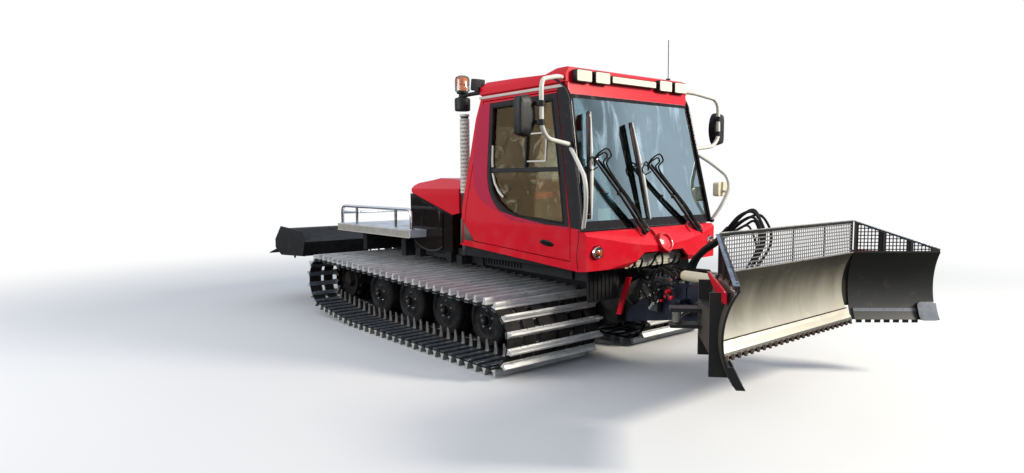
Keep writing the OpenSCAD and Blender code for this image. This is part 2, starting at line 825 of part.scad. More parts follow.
lift_y = 150;
lift_x0 = pivot_x + 20;
lift_z0 = 850;
lift_x1 = 2860;
lift_z1 = 870;
push_z0 = 500;
push_z1 = 800;
yaw_x = 3010;
yaw_r = 45;
angle_x0 = 2560;
angle_x1 = 3120;
angle_y0 = 340;
angle_y1 = 430;
angle_z = 640;
module push_frame() {
    color("#23262e") {
        both_sides()
            slab(push_half - 30, push_half)
                polygon([[pivot_x, pivot_z - 60], [pivot_x + 500, push_z0], [yaw_x - 70, push_z0],
                    [yaw_x - 70, push_z1], [pivot_x + 400, push_z1], [pivot_x, pivot_z + 60],
                    [pivot_x - 45, pivot_z]]);
        pin_y(pivot_x, -push_half + 10, push_half - 10, pivot_z, pivot_r);
        // top and bottom plates, with the clevis of the yaw pin
        for (z = [push_z0, push_z1 - 24])
            difference() {
                union() {
                    box([2400, -push_half + 10, z], [yaw_x - 70, push_half - 10, z + 24]);
                    box([yaw_x - 80, -120, z], [yaw_x + 70, 120, z + 24]);
                }
                translate([yaw_x, 0, z - 1])
                    cylinder(r = yaw_r + pin_fit, h = 26);
            }
        for (y = [-lift_y, lift_y])
            for (k = [-1, 1])
                slab(y + k * (eye_half + clear) - (k < 0 ? lug_t : 0),
                    y + k * (eye_half + clear) + (k > 0 ? lug_t : 0))
                    polygon([[lift_x1 - 80, push_z1 - 5], [lift_x1 - 80, push_z1],
                        [lift_x1 - 34, lift_z1 + 34], [lift_x1 + 34, lift_z1 + 34],
                        [lift_x1 + 70, push_z1], [lift_x1 + 70, push_z1 - 5]]);
        // ears of the angle cylinders
        both_sides() {
            for (k = [-1, 1])
                box([angle_x0 - 45, push_half - 10, angle_z + k * (eye_half + clear) - (k < 0 ? 24 : 0)],
                    [angle_x0 + 45, angle_y0 + 45, angle_z + k * (eye_half + clear) + (k > 0 ? 24 : 0)]);
            translate([angle_x0, angle_y0, angle_z - eye_half - clear])
                cylinder(r = pin_r, h = 2 * (eye_half + clear));
        }
    }
}
// Sleeved bundle of hoses that arches over the linkage between the lift cylinders
module blade_hoses() {
    foot = lift_x1 - 300;
    end = yaw_x - 90;
    color("#141416")
        bent_tube([[foot, 0, push_z1], [foot, 0, push_z1 + 70], [foot + 80, 0, push_z1 + 170],
            [end + 130, 0, push_z1 + 560], [end + 220, 0, push_z1 + 610], [end + 290, 0, push_z1 + 560],
            [end + 280, 0, push_z1 + 380], [end + 120, 0, push_z1 + 180], [end, 0, push_z1 + 90],
            [end, 0, push_z1]], hose_r);
}
hose_r = 30;
// Carry a cylinder drawn along X to its place; its pins run along Y, or up after a quarter turn
module along(a, b, turn = 0) {
    d = b - a;
    translate(a)
        rotate([turn, -asin(d.z / norm(d)), atan2(d.y, d.x)])
            children();
}
module barrel(a, b, r, rod_r, turn = 0, share = 0.6) {
    len = norm(b - a) * share;
    along(a, b, turn)
        difference() {
            union() {
                pin_y(0, -eye_half, eye_half, 0, eye_r);
                rotate([0, 90, 0])
                    cylinder(r = r, h = len);
            }
            pin_y(0, -eye_half - 10, eye_half + 10, 0, pin_r + pin_fit);
            translate([eye_r + 24, 0, 0])
                rotate([0, 90, 0])
                    cylinder(r = rod_r + pin_fit, h = len);
        }
}
module piston_rod(a, b, rod_r, turn = 0, inside = 0.34) {
    len = norm(b - a);
    along(a, b, turn) {
        translate([len * inside, 0, 0])
            rotate([0, 90, 0])
                cylinder(r = rod_r, h = len * (1 - inside));
        pin_y(len, -eye_half, eye_half, 0, eye_r - 4);
    }
}
module lift_barrels() {
    color("#24262a")
        for (y = [-lift_y, lift_y])
            barrel([lift_x0, y, lift_z0], [lift_x1, y, lift_z1], 38, 20);
}
module lift_rods() {
    color("#d8dade")
        for (y = [-lift_y, lift_y])
            piston_rod([lift_x0, y, lift_z0], [lift_x1, y, lift_z1], 20);
}
module angle_barrel(s) {
    color("#24262a")
        barrel([angle_x0, s * angle_y0, angle_z], [angle_x1, s * angle_y1, angle_z], 34, 18, 90);
}
module angle_rod(s) {
    color("#d8dade")
        piston_rod([angle_x0, s * angle_y0, angle_z], [angle_x1, s * angle_y1, angle_z], 18, 90);
}
module angle_barrel_left() {
    angle_barrel(1);
}
module angle_barrel_right() {
    angle_barrel(-1);
}
module angle_rod_left() {
    angle_rod(1);
}
module angle_rod_right() {
    angle_rod(-1);
}
blade_h = blade_z1 - blade_z0;
blade_r = (blade_h * blade_h / 4 + blade_sag * blade_sag) / (2 * blade_sag);
blade_face = blade_x + 6;
// Section of the moldboard in X and Z
module blade_section() {
    intersection() {
        translate([blade_face - blade_sag + blade_r, (blade_z0 + blade_z1) / 2])
            difference() {
                circle(r = blade_r + blade_t, $fn = 96);
                circle(r = blade_r, $fn = 96);
            }
        translate([blade_face - blade_sag - 60, blade_z0])
            square([blade_sag + 70, blade_h]);
    }
}
// Section of a strip on the face, down from the height z, t thick
module face_strip(z, t) {
    intersection() {
        translate([blade_face - blade_sag + blade_r, (blade_z0 + blade_z1) / 2])
            difference() {
                circle(r = blade_r + 3, $fn = 96);
                circle(r = blade_r - t, $fn = 96);
            }
        translate([blade_face - blade_sag, blade_z0])
            square([blade_sag + 60, z - blade_z0]);
    }
}
// Row of teeth under the edge from y0 to y1
module edge_row(y0, y1, count) {
    step = (y1 - y0) / count;
    for (i = [0 : count - 1])
        slab(y0 + (i + 0.2) * step, y0 + (i + 0.8) * step)
            polygon([[blade_face - 10, blade_z0 + 8], [blade_face - 6, blade_z0 - 28],
                [blade_face + 3, blade_z0 - 28], [blade_face + 6, blade_z0 + 8]]);
}
root_gap = 12;
blade_back = blade_face - blade_sag - blade_t;
beam_x = 3155;
// Rib behind the moldboard, drawn in X and Z, ending inside the sheet
module blade_rib(x0, z0, z1) {
    difference() {
        translate([x0, z0])
            square([blade_face - x0, z1 - z0]);
        translate([blade_face - blade_sag + blade_r, (blade_z0 + blade_z1) / 2])
            circle(r = blade_r + blade_t / 2, $fn = 96);
    }
}
// Pair of ears either side of an eye that turns on an upright pin
module ear_pair(x0, x1, y, half, z) {
    for (k = [-1, 1])
        box([x0, y - half, z + k * (eye_half + clear) - (k < 0 ? 24 : 0)],
            [x1, y + half, z + k * (eye_half + clear) + (k > 0 ? 24 : 0)]);
}
module blade_middle() {
    color("#3a3c3e") {
        slab(-blade_half + root_gap, blade_half - root_gap) {
            blade_section();
            face_strip(blade_z0 + strip_h, 12);
        }
        edge_row(-blade_half + root_gap, blade_half - root_gap, edge_teeth);
        // box beam and ribs behind the moldboard
        box([beam_x, -600, 540], [blade_back - 4, 600, 900]);
        for (y = [-blade_half + 40, -600, -300, 284, 584, blade_half - 56])
            slab(y, y + 16)
                blade_rib(abs(y) > 700 ? blade_back - 10 : beam_x + 40, blade_z0 + 40, blade_z1 - 30);
        // yaw block and its pins
        translate([yaw_x, 0, push_z0 + 24 + clear])
            cylinder(r = 90, h = push_z1 - push_z0 - 48 - 2 * clear);
        box([yaw_x, -90, push_z0 + 24 + clear], [beam_x + 10, 90, push_z1 - 24 - clear]);
        translate([yaw_x, 0, push_z0])
            cylinder(r = yaw_r, h = push_z1 - push_z0);
        for (s = [-1, 1]) {
            ear_pair(angle_x1 - 45, beam_x + 10, s * angle_y1, 60, angle_z);
            ear_pair(wing_x0 - 45, beam_x + 10, s * wing_y0, 60, wing_z);
            translate([wing_x0, s * wing_y0, wing_z - eye_half - clear])
                cylinder(r = pin_r, h = 2 * (eye_half + clear));
        }
    }
}
module blade_screen() {
    cols = 12;
    rows = 5;
    half = blade_half - root_gap;
    bar = 10;
    step_y = (2 * half - bar) / cols;
    step_z = (screen_z - blade_z1 - bar) / rows;
    color("#2a2b2d")
        translate([blade_face - 20, 0, 0])
            rotate([90, 0, 90])
                linear_extrude(14)
                    difference() {
                        translate([-half, blade_z1])
                            square([2 * half, screen_z - blade_z1]);
                        for (i = [0 : cols - 1])
                            for (k = [0 : rows - 1])
                                translate([-half + bar + i * step_y, blade_z1 + bar + k * step_z])
                                    square([step_y - bar, step_z - bar]);
                    }
}
wing_x0 = 3000;
wing_y0 = 420;
wing_z = 800;
wing_eye = 200;
wing_back = 300;
wing_tip = [blade_x + wing_eye * sin(wing_swing) - wing_back * cos(wing_swing),
    blade_half + wing_eye * cos(wing_swing) + wing_back * sin(wing_swing), wing_z];
wing_base = [wing_x0, wing_y0, wing_z];
wear_w = 150;
// Height of the wing screen's sloping top at the share k of its length
function screen_slope(k) = screen_z + (blade_z1 + 30 - screen_z) * k;
// Three-cornered frame with two uprights
module wing_screen() {
    bar = 22;
    translate([blade_face - 20, 0, 0])
        rotate([90, 0, 90])
            linear_extrude(14)
                difference() {
                    polygon([[blade_half + 6, blade_z1 - 4], [blade_half + wing_len, blade_z1 - 4],
                        [blade_half + wing_len, screen_slope(1)], [blade_half + 6, screen_z]]);
                    for (k = [[0.0, 0.34], [0.34, 0.66], [0.66, 0.9]])
                        polygon([[blade_half + bar + wing_len * k[0], blade_z1 + bar / 2],
                            [blade_half + wing_len * k[1], blade_z1 + bar / 2],
                            [blade_half + wing_len * k[1], screen_slope(k[1]) - bar],
                            [blade_half + bar + wing_len * k[0], screen_slope(k[0]) - bar]]);
                }
}
// The left wing, straight, before its swing
module wing_plain() {
    beam = blade_back - 50;
    color("#303234") {
        slab(blade_half, blade_half + wing_len)
            blade_section();
        box([beam, blade_half + 60, 660], [blade_back + 4, blade_half + wing_len - 120, 900]);
        for (y = [blade_half + 60, blade_half + wing_len - 136])
            slab(y, y + 16)
                blade_rib(beam, blade_z0 + 40, blade_z1 - 30);
        slab(blade_half + 2 * root_gap, blade_half + wing_len - wear_w)
            face_strip(blade_z0 + strip_h, 12);
        edge_row(blade_half + 2 * root_gap, blade_half + wing_len - wear_w, 7);
        // wear block at the outer corner
        slab(blade_half + wing_len - wear_w, blade_half + wing_len)
            face_strip(blade_z0 + strip_h + 40, 30);
        wing_screen();
        ear_pair(blade_x - wing_back - 45, beam + 10, blade_half + wing_eye, 60, wing_z);
    }
}
module wing() {
    translate([blade_x, blade_half, 0])
        rotate([0, 0, -wing_swing])
            translate([-blade_x, -blade_half, 0])
                wing_plain();
}
module wing_left() {
    wing();
}
module wing_right() {
    mirror([0, 1, 0])
        wing();
}
module wing_barrel_left() {
    color("#24262a")
        barrel(wing_base, wing_tip, 30, 15, 90);
}
module wing_barrel_right() {
    mirror([0, 1, 0])
        wing_barrel_left();
}
module wing_rod_left() {
    color("#d8dade")
        piston_rod(wing_base, wing_tip, 15, 90);
}
module wing_rod_right() {
    mirror([0, 1, 0])
        wing_rod_left();
}

// Tiller

tiller_x = sprocket_x - tiller_reach;
rear_x = sprocket_x - 180;
rear_z = 480;
tilt_x = tiller_x + 330;
tilt_z = tiller_z;
tilt_r = 50;
tiller_cyl_y = 90;
tiller_pin = [rear_x + 40, 960];
tiller_eye = [tilt_x + 60, tilt_z + 110];
module rear_lift_frame() {
    color("#17181a") {
        both_sides()
            slab(140, 180)
                polygon([[rear_x + 50, rear_z], [rear_x, rear_z - 50], [tilt_x + 20, tilt_z - 70],
                    [tilt_x - 50, tilt_z - 20], [tilt_x - 50, tilt_z + 50], [tilt_x + 40, tilt_z + 65],
                    [rear_x - 20, rear_z + 60]]);
        pin_y(rear_x, -218, 218, rear_z, pivot_r);
        pin_y(tilt_x, -660, 660, tilt_z, tilt_r);
        box([tilt_x - 10, -180, tilt_z + 25], [tilt_x + 110, 180, tilt_z + 60]);
        for (y = [-tiller_cyl_y, tiller_cyl_y])
            for (k = [-1, 1])
                slab(y + k * (eye_half + clear) - (k < 0 ? lug_t : 0),
                    y + k * (eye_half + clear) + (k > 0 ? lug_t : 0))
                    polygon([[tilt_x + 5, tilt_z + 50], [tilt_x + 26, tilt_z + 144],
                        [tilt_x + 94, tilt_z + 144], [tilt_x + 105, tilt_z + 50]]);
    }
}
cover_x = 460;
cover_y = 460;
module tiller_hood() {
    color("#141517") {
        slab(-tiller_half, tiller_half)
            intersection() {
                translate([tiller_x, tiller_z])
                    difference() {
                        circle(r = hood_r);
                        circle(r = hood_r - 12);
                    }
                translate([tiller_x - 300, tiller_z - 40])
                    square([600, 400]);
            }
        box([tiller_x - hood_r - 20, -tiller_half, tiller_z - 40],
            [tiller_x - hood_r + 6, tiller_half, tiller_z - 10]);
        // folded covers ahead of the drum, on each side of the lift frame
        for (y = [[-tiller_half, -cover_y], [cover_y, tiller_half]])
            slab(y[0], y[1])
                translate([tiller_x, tiller_z])
                    polygon([[110, 210], [cover_x, 75], [cover_x - 20, -110],
                        [cover_x - 32, -110], [cover_x - 12, 66], [110, 196]]);
        // bearings on the carrier's tube
        for (y = [-620, -320, 296, 596])
            slab(y, y + 24)
                difference() {
                    polygon([[tiller_x + hood_r - 20, tiller_z - 30], [tilt_x + 40, tilt_z - 60],
                        [tilt_x + 75, tilt_z], [tilt_x + 40, tilt_z + 75], [tilt_x - 60, tilt_z + 75],
                        [tiller_x + hood_r - 60, tiller_z + 120]]);
                    translate([tiller_x, tiller_z])
                        circle(r = hood_r - 6);
                    translate([tilt_x, tilt_z])
                        circle(r = tilt_r + pin_fit);
                }
        both_sides()
            slab(tiller_half, tiller_half + 14)
                difference() {
                    polygon([[tiller_x + 523, tiller_z + 90], [tiller_x + 400, tiller_z + 220],
                        [tiller_x - 300, tiller_z + hood_r + 10], [tiller_x - 514, tiller_z + 60],
                        [tiller_x - 514, tiller_z - 60], [tiller_x - 300, tiller_z - 150],
                        [tiller_x + 440, tiller_z - 110]]);
                    translate([tiller_x, tiller_z])
                        circle(r = 30 + pin_fit);
                }
    }
}
tine_rings = 18;
ring_tines = 8;
module tiller_shaft() {
    end = tiller_half - 60;
    step = 2 * end / (tine_rings - 1);
    color("#3b3d40") {
        pin_y(tiller_x, -tiller_half - 13, tiller_half + 13, tiller_z, 30);
        translate([tiller_x, 0, tiller_z])
            rotate([-90, 0, 0]) {
                facet_disc(72, 12, -tiller_half + 20, tiller_half - 20);
                // rings of tines, each turned on from the last
                for (i = [0 : tine_rings - 1])
                    translate([0, 0, -end - 10 + i * step])
                        rotate([0, 0, i * 15])
                            linear_extrude(20)
                                polygon([for (k = [0 : 2 * ring_tines - 1])
                                    polar(k % 2 == 0 ? tine_r : tine_r - 75, k * 180 / ring_tines)]);
            }
    }
}
flap_len = 535;
module tiller_finisher() {
    foot = tiller_x - hood_r - 20;
    color("#1a1b1d")
        slab(-tiller_half, tiller_half)
            polygon([[foot, tiller_z - 10], [foot, tiller_z - 38], [foot - flap_len, tiller_z - 165],
                [foot - flap_len, tiller_z - 150]]);
}
module tiller_barrels() {
    color("#24262a")
        for (y = [-tiller_cyl_y, tiller_cyl_y])
            barrel([tiller_pin.x, y, tiller_pin.y], [tiller_eye.x, y, tiller_eye.y], 30, 18, 0, 0.68);
}
module tiller_rods() {
    color("#d8dade")
        for (y = [-tiller_cyl_y, tiller_cyl_y])
            piston_rod([tiller_pin.x, y, tiller_pin.y], [tiller_eye.x, y, tiller_eye.y], 18, 0, 0.28);
}

chassis_tub();
wheel_arms();
track_wheels();
drive_sprockets();
track_left();
track_right();
engine_block();
hood_sides();
hood_lid();
cab_floor();
cab_frame();
cab_roof();
front_cowl();
cab_glass();
door_left();
door_right();
door_glass_left();
door_glass_right();
seats();
dash_console();
wipers();
mirrors();
lamps();
beacon_post();
exhaust_stack();
cargo_bed();
bed_rail();
push_frame();
lift_barrels();
lift_rods();
angle_barrel_left();
angle_barrel_right();
angle_rod_left();
angle_rod_right();
blade_middle();
blade_screen();
wing_left();
wing_right();
wing_barrel_left();
wing_barrel_right();
wing_rod_left();
wing_rod_right();
aerial();
blade_hoses();
rear_lift_frame();
tiller_hood();
tiller_shaft();
tiller_finisher();
tiller_barrels();
tiller_rods();
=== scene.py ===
import math
import bpy
import bmesh
from mathutils import Matrix, Vector, noise


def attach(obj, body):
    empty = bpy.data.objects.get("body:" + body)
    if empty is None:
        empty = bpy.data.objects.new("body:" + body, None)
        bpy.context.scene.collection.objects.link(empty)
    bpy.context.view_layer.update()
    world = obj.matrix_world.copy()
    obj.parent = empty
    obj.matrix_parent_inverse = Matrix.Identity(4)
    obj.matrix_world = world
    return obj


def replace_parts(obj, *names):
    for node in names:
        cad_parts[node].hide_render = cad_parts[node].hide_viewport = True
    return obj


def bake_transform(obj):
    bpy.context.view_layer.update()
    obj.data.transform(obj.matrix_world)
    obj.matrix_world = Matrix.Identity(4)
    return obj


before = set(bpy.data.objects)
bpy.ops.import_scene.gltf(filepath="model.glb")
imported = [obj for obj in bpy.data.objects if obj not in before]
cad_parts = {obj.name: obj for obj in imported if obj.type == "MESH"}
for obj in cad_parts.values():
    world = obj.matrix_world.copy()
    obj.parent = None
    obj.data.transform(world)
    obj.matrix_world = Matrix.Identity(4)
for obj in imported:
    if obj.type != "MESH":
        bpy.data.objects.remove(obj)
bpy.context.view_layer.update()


# Wraps a socket, so that shader maths reads as plain sums.
class Wire:
    def __init__(self, graph, socket):
        self.graph = graph
        self.socket = socket

    def math(self, operation, *others):
        return self.graph.add("Math", {"operation": operation}, [self, *others])

    def __add__(self, other):
        return self.math("ADD", other)

    __radd__ = __add__

    def __sub__(self, other):
        return self.math("SUBTRACT", other)

    def __rsub__(self, other):
        return self.graph.add("Math", {"operation": "SUBTRACT"}, [other, self])

    def __mul__(self, other):
        return self.math("MULTIPLY", other)

    def __pow__(self, other):
        return self.math("POWER", other)

    def over(self, other):
        return self.math("GREATER_THAN", other)

    # 0 below start, 1 above end, smooth in between
    def between(self, start, end):
        return self.graph.add("MapRange", {"interpolation_type": "SMOOTHSTEP"},
                              {"Value": self, "From Min": start, "From Max": end})


# One material's node tree.
class Graph:
    def __init__(self, name):
        self.material = bpy.data.materials.new(name)
        self.material.use_nodes = True
        self.tree = self.material.node_tree
        self.tree.nodes.clear()
        self.output = self.tree.nodes.new("ShaderNodeOutputMaterial")

    # Any node: settings first, then values or wires for its sockets
    def add(self, kind, settings=None, sockets=None, out=0):
        node = self.tree.nodes.new("ShaderNode" + kind)
        for key, value in (settings or {}).items():
            setattr(node, key, value)
        pairs = enumerate(sockets) if isinstance(sockets, list) else (sockets or {}).items()
        for key, value in pairs:
            self.join(node.inputs[key], value)
        return Wire(self, node.outputs[out])

    def join(self, target, value):
        if isinstance(value, Wire):
            self.tree.links.new(value.socket, target)
        elif value is not None:
            if isinstance(value, (tuple, list)) and len(value) == 3 and len(target.default_value) == 4:
                value = (*value, 1)
            target.default_value = value

    def place(self):
        return self.add("TexCoord", out="Object")

    def parts(self, vector):
        outs = self.add("SeparateXYZ", sockets=[vector]).socket.node.outputs
        return [Wire(self, outs[i]) for i in range(3)]

    def cloud(self, scale, detail=3.0, rough=0.55, vector=None, warp=0.0):
        return self.add("TexNoise", sockets={"Vector": vector or self.place(), "Scale": scale,
                                             "Detail": detail, "Roughness": rough, "Distortion": warp})

    def stretched(self, scales):
        return self.add("VectorMath", {"operation": "MULTIPLY"}, [self.place(), scales])

    def mix(self, factor, a, b):
        raw = self.add("Mix", {"data_type": "RGBA"}).socket.node
        self.join(raw.inputs["Factor"], factor)
        for letter, tone in (("A", a), ("B", b)):
            self.join([s for s in raw.inputs if s.name == letter and s.type == "RGBA"][0], tone)
        return Wire(self, [s for s in raw.outputs if s.type == "RGBA"][0])

    def bump(self, height, distance, strength=1.0):
        return self.add("Bump", sockets={"Height": height, "Distance": distance, "Strength": strength})

    def surface(self, **values):
        names = {"colour": "Base Color", "rough": "Roughness", "metal": "Metallic", "coat": "Coat Weight",
                 "coatRough": "Coat Roughness", "normal": "Normal", "sheen": "Sheen Weight",
                 "sheenRough": "Sheen Roughness", "specular": "Specular IOR Level"}
        return self.add("BsdfPrincipled", sockets={names[k]: v for k, v in values.items()})

    def finish(self, shader):
        self.tree.links.new(shader.socket, self.output.inputs["Surface"])
        return self.material


print("stage: camera and light")

cameraPlan = {"place": (5.9647, -4.9184, 1.6941), "yaw": 0.68842, "pitch": 0.08392,
              "roll": -0.00604, "lens": 23.888}


def setCamera(plan):
    yaw, pitch, roll = plan["yaw"], plan["pitch"], plan["roll"]
    ahead = Vector((-math.cos(yaw) * math.cos(pitch), math.sin(yaw) * math.cos(pitch), -math.sin(pitch)))
    right = ahead.cross(Vector((0, 0, 1))).normalized()
    up = right.cross(ahead)
    right, up = (right * math.cos(roll) + up * math.sin(roll),
                 up * math.cos(roll) - right * math.sin(roll))
    data = bpy.data.cameras.new("view")
    data.lens = plan["lens"]
    data.sensor_width = 36
    data.clip_start = 0.05
    data.clip_end = 200
    camera = bpy.data.objects.new("view", data)
    bpy.context.collection.objects.link(camera)
    turn = Matrix((right, up, -ahead)).transposed().to_4x4()
    camera.matrix_world = Matrix.Translation(plan["place"]) @ turn
    bpy.context.scene.camera = camera


setCamera(cameraPlan)
bpy.context.scene.view_settings.view_transform = "Standard"

# Each lamp: name, place, size, watts, colour
lightPlan = {"world": (0.8, 0.88, 1.0), "worldStrength": 0.8,
             "lamps": [("sun", (9.5, 5.0, 6.0), 2.0, 1450, (1.0, 0.93, 0.8)),
                       ("side", (-1.5, -10.0, 4.5), 5.0, 520, (1.0, 0.97, 0.94))]}


def addLamp(name, place, size, watts, colour):
    data = bpy.data.lights.new(name, "AREA")
    data.size = size
    data.energy = watts
    data.color = colour
    lamp = bpy.data.objects.new(name, data)
    bpy.context.collection.objects.link(lamp)
    lamp.location = place
    lamp.rotation_euler = (Vector((0, 0, 1.0)) - Vector(place)).to_track_quat("-Z", "Y").to_euler()


for lamp in lightPlan["lamps"]:
    addLamp(*lamp)


# The sky is white to the camera and pale blue to the machine
def setWorld(plan):
    world = bpy.data.worlds.new("studio")
    bpy.context.scene.world = world
    world.use_nodes = True
    tree = world.node_tree
    tree.nodes.clear()
    out = tree.nodes.new("ShaderNodeOutputWorld")
    pick = tree.nodes.new("ShaderNodeMixShader")
    path = tree.nodes.new("ShaderNodeLightPath")
    tree.links.new(path.outputs["Is Camera Ray"], pick.inputs[0])
    for socket, colour, strength in ((1, plan["world"], plan["worldStrength"]), (2, (1, 1, 1), 1.0)):
        glow = tree.nodes.new("ShaderNodeBackground")
        glow.inputs["Color"].default_value = (*colour, 1)
        glow.inputs["Strength"].default_value = strength
        tree.links.new(glow.outputs[0], pick.inputs[socket])
    tree.links.new(pick.outputs[0], out.inputs["Surface"])


setWorld(lightPlan)


# Pale to the camera, white far out; dark ground to everything the machine's own surfaces see
def floorLook():
    g = Graph("paleFloor")
    x, y = g.parts(g.place())[:2]
    tone = g.mix(g.cloud(0.6, 4) * 0.25, (0.66, 0.66, 0.66), (0.62, 0.62, 0.62))
    pale = g.surface(colour=tone, rough=0.9, specular=0.0)
    dark = g.surface(colour=(0.1, 0.1, 0.085), rough=0.9, specular=0.0)
    white = g.add("Emission", sockets={"Color": (1, 1, 1, 1)})
    far = ((x * x + y * y) ** 0.5).between(5.0, 11.0)
    seen = g.add("MixShader", sockets=[far, pale, white])
    camera = g.add("LightPath", out="Is Camera Ray")
    return g.finish(g.add("MixShader", sockets=[camera, dark, seen]))


def addFloor(far=60):
    mesh = bpy.data.meshes.new("floor")
    mesh.from_pydata([(-far, -far, 0), (far, -far, 0), (far, far, 0), (-far, far, 0)], [], [(0, 1, 2, 3)])
    floor = bpy.data.objects.new("floor", mesh)
    bpy.context.collection.objects.link(floor)
    floor.data.materials.append(floorLook())


addFloor()

print("stage: finishes")


def redPaint(name="redPaint", one=(0.6, 0.003, 0.014), two=(0.67, 0.005, 0.022), gloss=0.22):
    g = Graph(name)
    z = g.parts(g.place())[2]
    base = g.mix(g.cloud(0.9, 3).between(0.35, 0.7), one, two)
    dust = (g.cloud(7, 6, 0.65).between(0.42, 0.75) * (1 - z.between(0.9, 1.7)) * 0.12).math("MAXIMUM", 0)
    grime = g.cloud(55, 5, 0.7).between(0.62, 0.8) * 0.12
    colour = g.mix(dust + grime, base, (0.32, 0.2, 0.16))
    return g.finish(g.surface(colour=colour, rough=0.34 + dust * 0.5 + grime, coat=gloss - dust * 0.8,
                              coatRough=0.05, specular=0.18, normal=g.bump(g.cloud(420, 2), 0.0004, 0.25)))


def blackPaint():
    g = Graph("blackPaint")
    z = g.parts(g.place())[2]
    dirt = g.cloud(9, 7, 0.7).between(0.45, 0.72)
    low = 1 - z.between(0.2, 1.1)
    colour = g.mix(dirt * (0.1 + low * 0.22), (0.01, 0.01, 0.011), (0.11, 0.095, 0.08))
    return g.finish(g.surface(colour=colour, rough=0.42 + dirt * 0.3, specular=0.22,
                              normal=g.bump(g.cloud(160, 4), 0.0006, 0.4)))


def trackAlloy():
    g = Graph("trackAlloy")
    streak = g.cloud(26, 6, 0.72, g.stretched((1.0, 0.12, 1.0)))
    rust = g.cloud(5.5, 7, 0.68).between(0.52, 0.74)
    tone = g.mix(streak.between(0.3, 0.7), (0.46, 0.47, 0.49), (0.8, 0.79, 0.75))
    colour = g.mix(rust * 0.55, tone, (0.2, 0.16, 0.12))
    return g.finish(g.surface(colour=colour, metal=0.45 - rust * 0.3, rough=0.44 + rust * 0.3 + streak * 0.1,
                              normal=g.bump(g.cloud(90, 6, 0.7), 0.0015, 0.6)))


def bladeSteel():
    g = Graph("bladeSteel")
    x, y, z = g.parts(g.place())
    rust = g.cloud(7, 7, 0.7).between(0.55, 0.75)
    # the wings' backs get a lighter brown, painted sunlight on them, on both sides alike
    faceX = g.parts(g.add("TexCoord", out="Normal"))[0]
    paintedSunOnBacks = (1 - faceX.between(-0.25, 0.05)) * y.math("ABSOLUTE").over(0.98)
    painted = g.mix(paintedSunOnBacks, (0.016, 0.016, 0.015), (0.074, 0.064, 0.05))
    painted = g.mix(rust * 0.45, painted, (0.085, 0.055, 0.038))
    # the middle's front face is bare, from olive at the top to pale at the foot
    front = x.over(3.2785) * (1 - x.over(3.3752)) * (1 - y.math("ABSOLUTE").over(0.9685))
    smear = g.cloud(3.0, 6, 0.62, g.stretched((1, 1.6, 0.35))).between(0.25, 0.75)
    low = 1 - (z + smear * 0.1).between(0.56, 1.08)
    scratch = g.cloud(55, 4, 0.7, g.stretched((1, 0.25, 1.0)), 0.6).between(0.55, 0.75)
    bare = g.mix(low, (0.06, 0.058, 0.045), (0.5, 0.47, 0.39))
    bare = g.mix(scratch * 0.22, bare, (0.44, 0.43, 0.39))
    return g.finish(g.surface(colour=g.mix(front, painted, bare), metal=front * 0.35,
                              rough=0.46 + rust * 0.25 - front * 0.1,
                              normal=g.bump(g.cloud(70, 6, 0.7), 0.0012, 0.4)))


# Clear glass with painted reflection: a base everywhere, sky reflections painted in patches, more painted reflection
# across towards the left side; the reflection's tint is painted too
def windowGlass(name="windowGlass", tint=(0.78, 0.86, 0.84), paintedReflectionTint=(1, 1, 1), base=0.06, paintedSkyPatches=0.0,
                grain=2.6, across=0.0):
    g = Graph(name)
    y = g.parts(g.place())[1]
    filmAndPaintedReflection = g.cloud(3, 5).between(0.45, 0.75) * 0.05 + y.between(-0.7, 0.1) * across
    filmAndPaintedReflection = filmAndPaintedReflection + g.cloud(grain, 6, 0.66, g.stretched((0.5, 1.6, 0.55)), 0.8).between(0.52, 0.68) * paintedSkyPatches
    clear = g.add("BsdfTransparent", sockets={"Color": (*tint, 1)})
    shine = g.add("BsdfGlossy", sockets={"Roughness": 0.02, "Color": (*paintedReflectionTint, 1)})
    edge = g.add("LayerWeight", sockets={"Blend": 0.25}, out="Fresnel")
    return g.finish(g.add("MixShader", sockets=[edge * 0.9 + base + filmAndPaintedReflection, clear, shine]))


def seatCloth(name="seatCloth", dark=(0.014, 0.014, 0.016), pale=(0.035, 0.035, 0.038)):
    g = Graph(name)
    x, y, z = [(part * 1900).math("SINE") for part in g.parts(g.place())]
    weave = x * z * y * 0.5 + 0.5
    colour = g.mix(weave * 0.6 + g.cloud(30, 4) * 0.3, dark, pale)
    return g.finish(g.surface(colour=colour, rough=0.85, sheen=0.35, sheenRough=0.4,
                              normal=g.bump(weave, 0.0005, 0.6)))


def lampLens(name="lampLens", tone=(0.86, 0.82, 0.66), rough=0.12):
    g = Graph(name)
    ribs = (g.parts(g.place())[1] * 900).math("SINE") * 0.5 + 0.5
    dim = tuple(c * 0.7 for c in tone)
    return g.finish(g.surface(colour=g.mix(ribs * 0.35, tone, dim), rough=rough, coat=0.4,
                              normal=g.bump(ribs, 0.001, 0.5)))


def silverGlass():
    g = Graph("silverGlass")
    return g.finish(g.surface(colour=g.mix(g.cloud(4, 4), (0.75, 0.78, 0.8), (0.62, 0.66, 0.7)), metal=1.0,
                              rough=0.03))


# Two tones mixed by a cloud between two edges, which also roughens the surface; grain is the bump's
# cloud, distance and strength
def twoTone(name, cloud, edges, share, tones, rough, rougher, grain=None, **values):
    g = Graph(name)
    wear = g.cloud(*cloud).between(*edges)
    if grain:
        *fine, distance, strength = grain
        values["normal"] = g.bump(g.cloud(*fine), distance, strength)
    return g.finish(g.surface(colour=g.mix(wear * share, *tones), rough=wear * rougher + rough, **values))


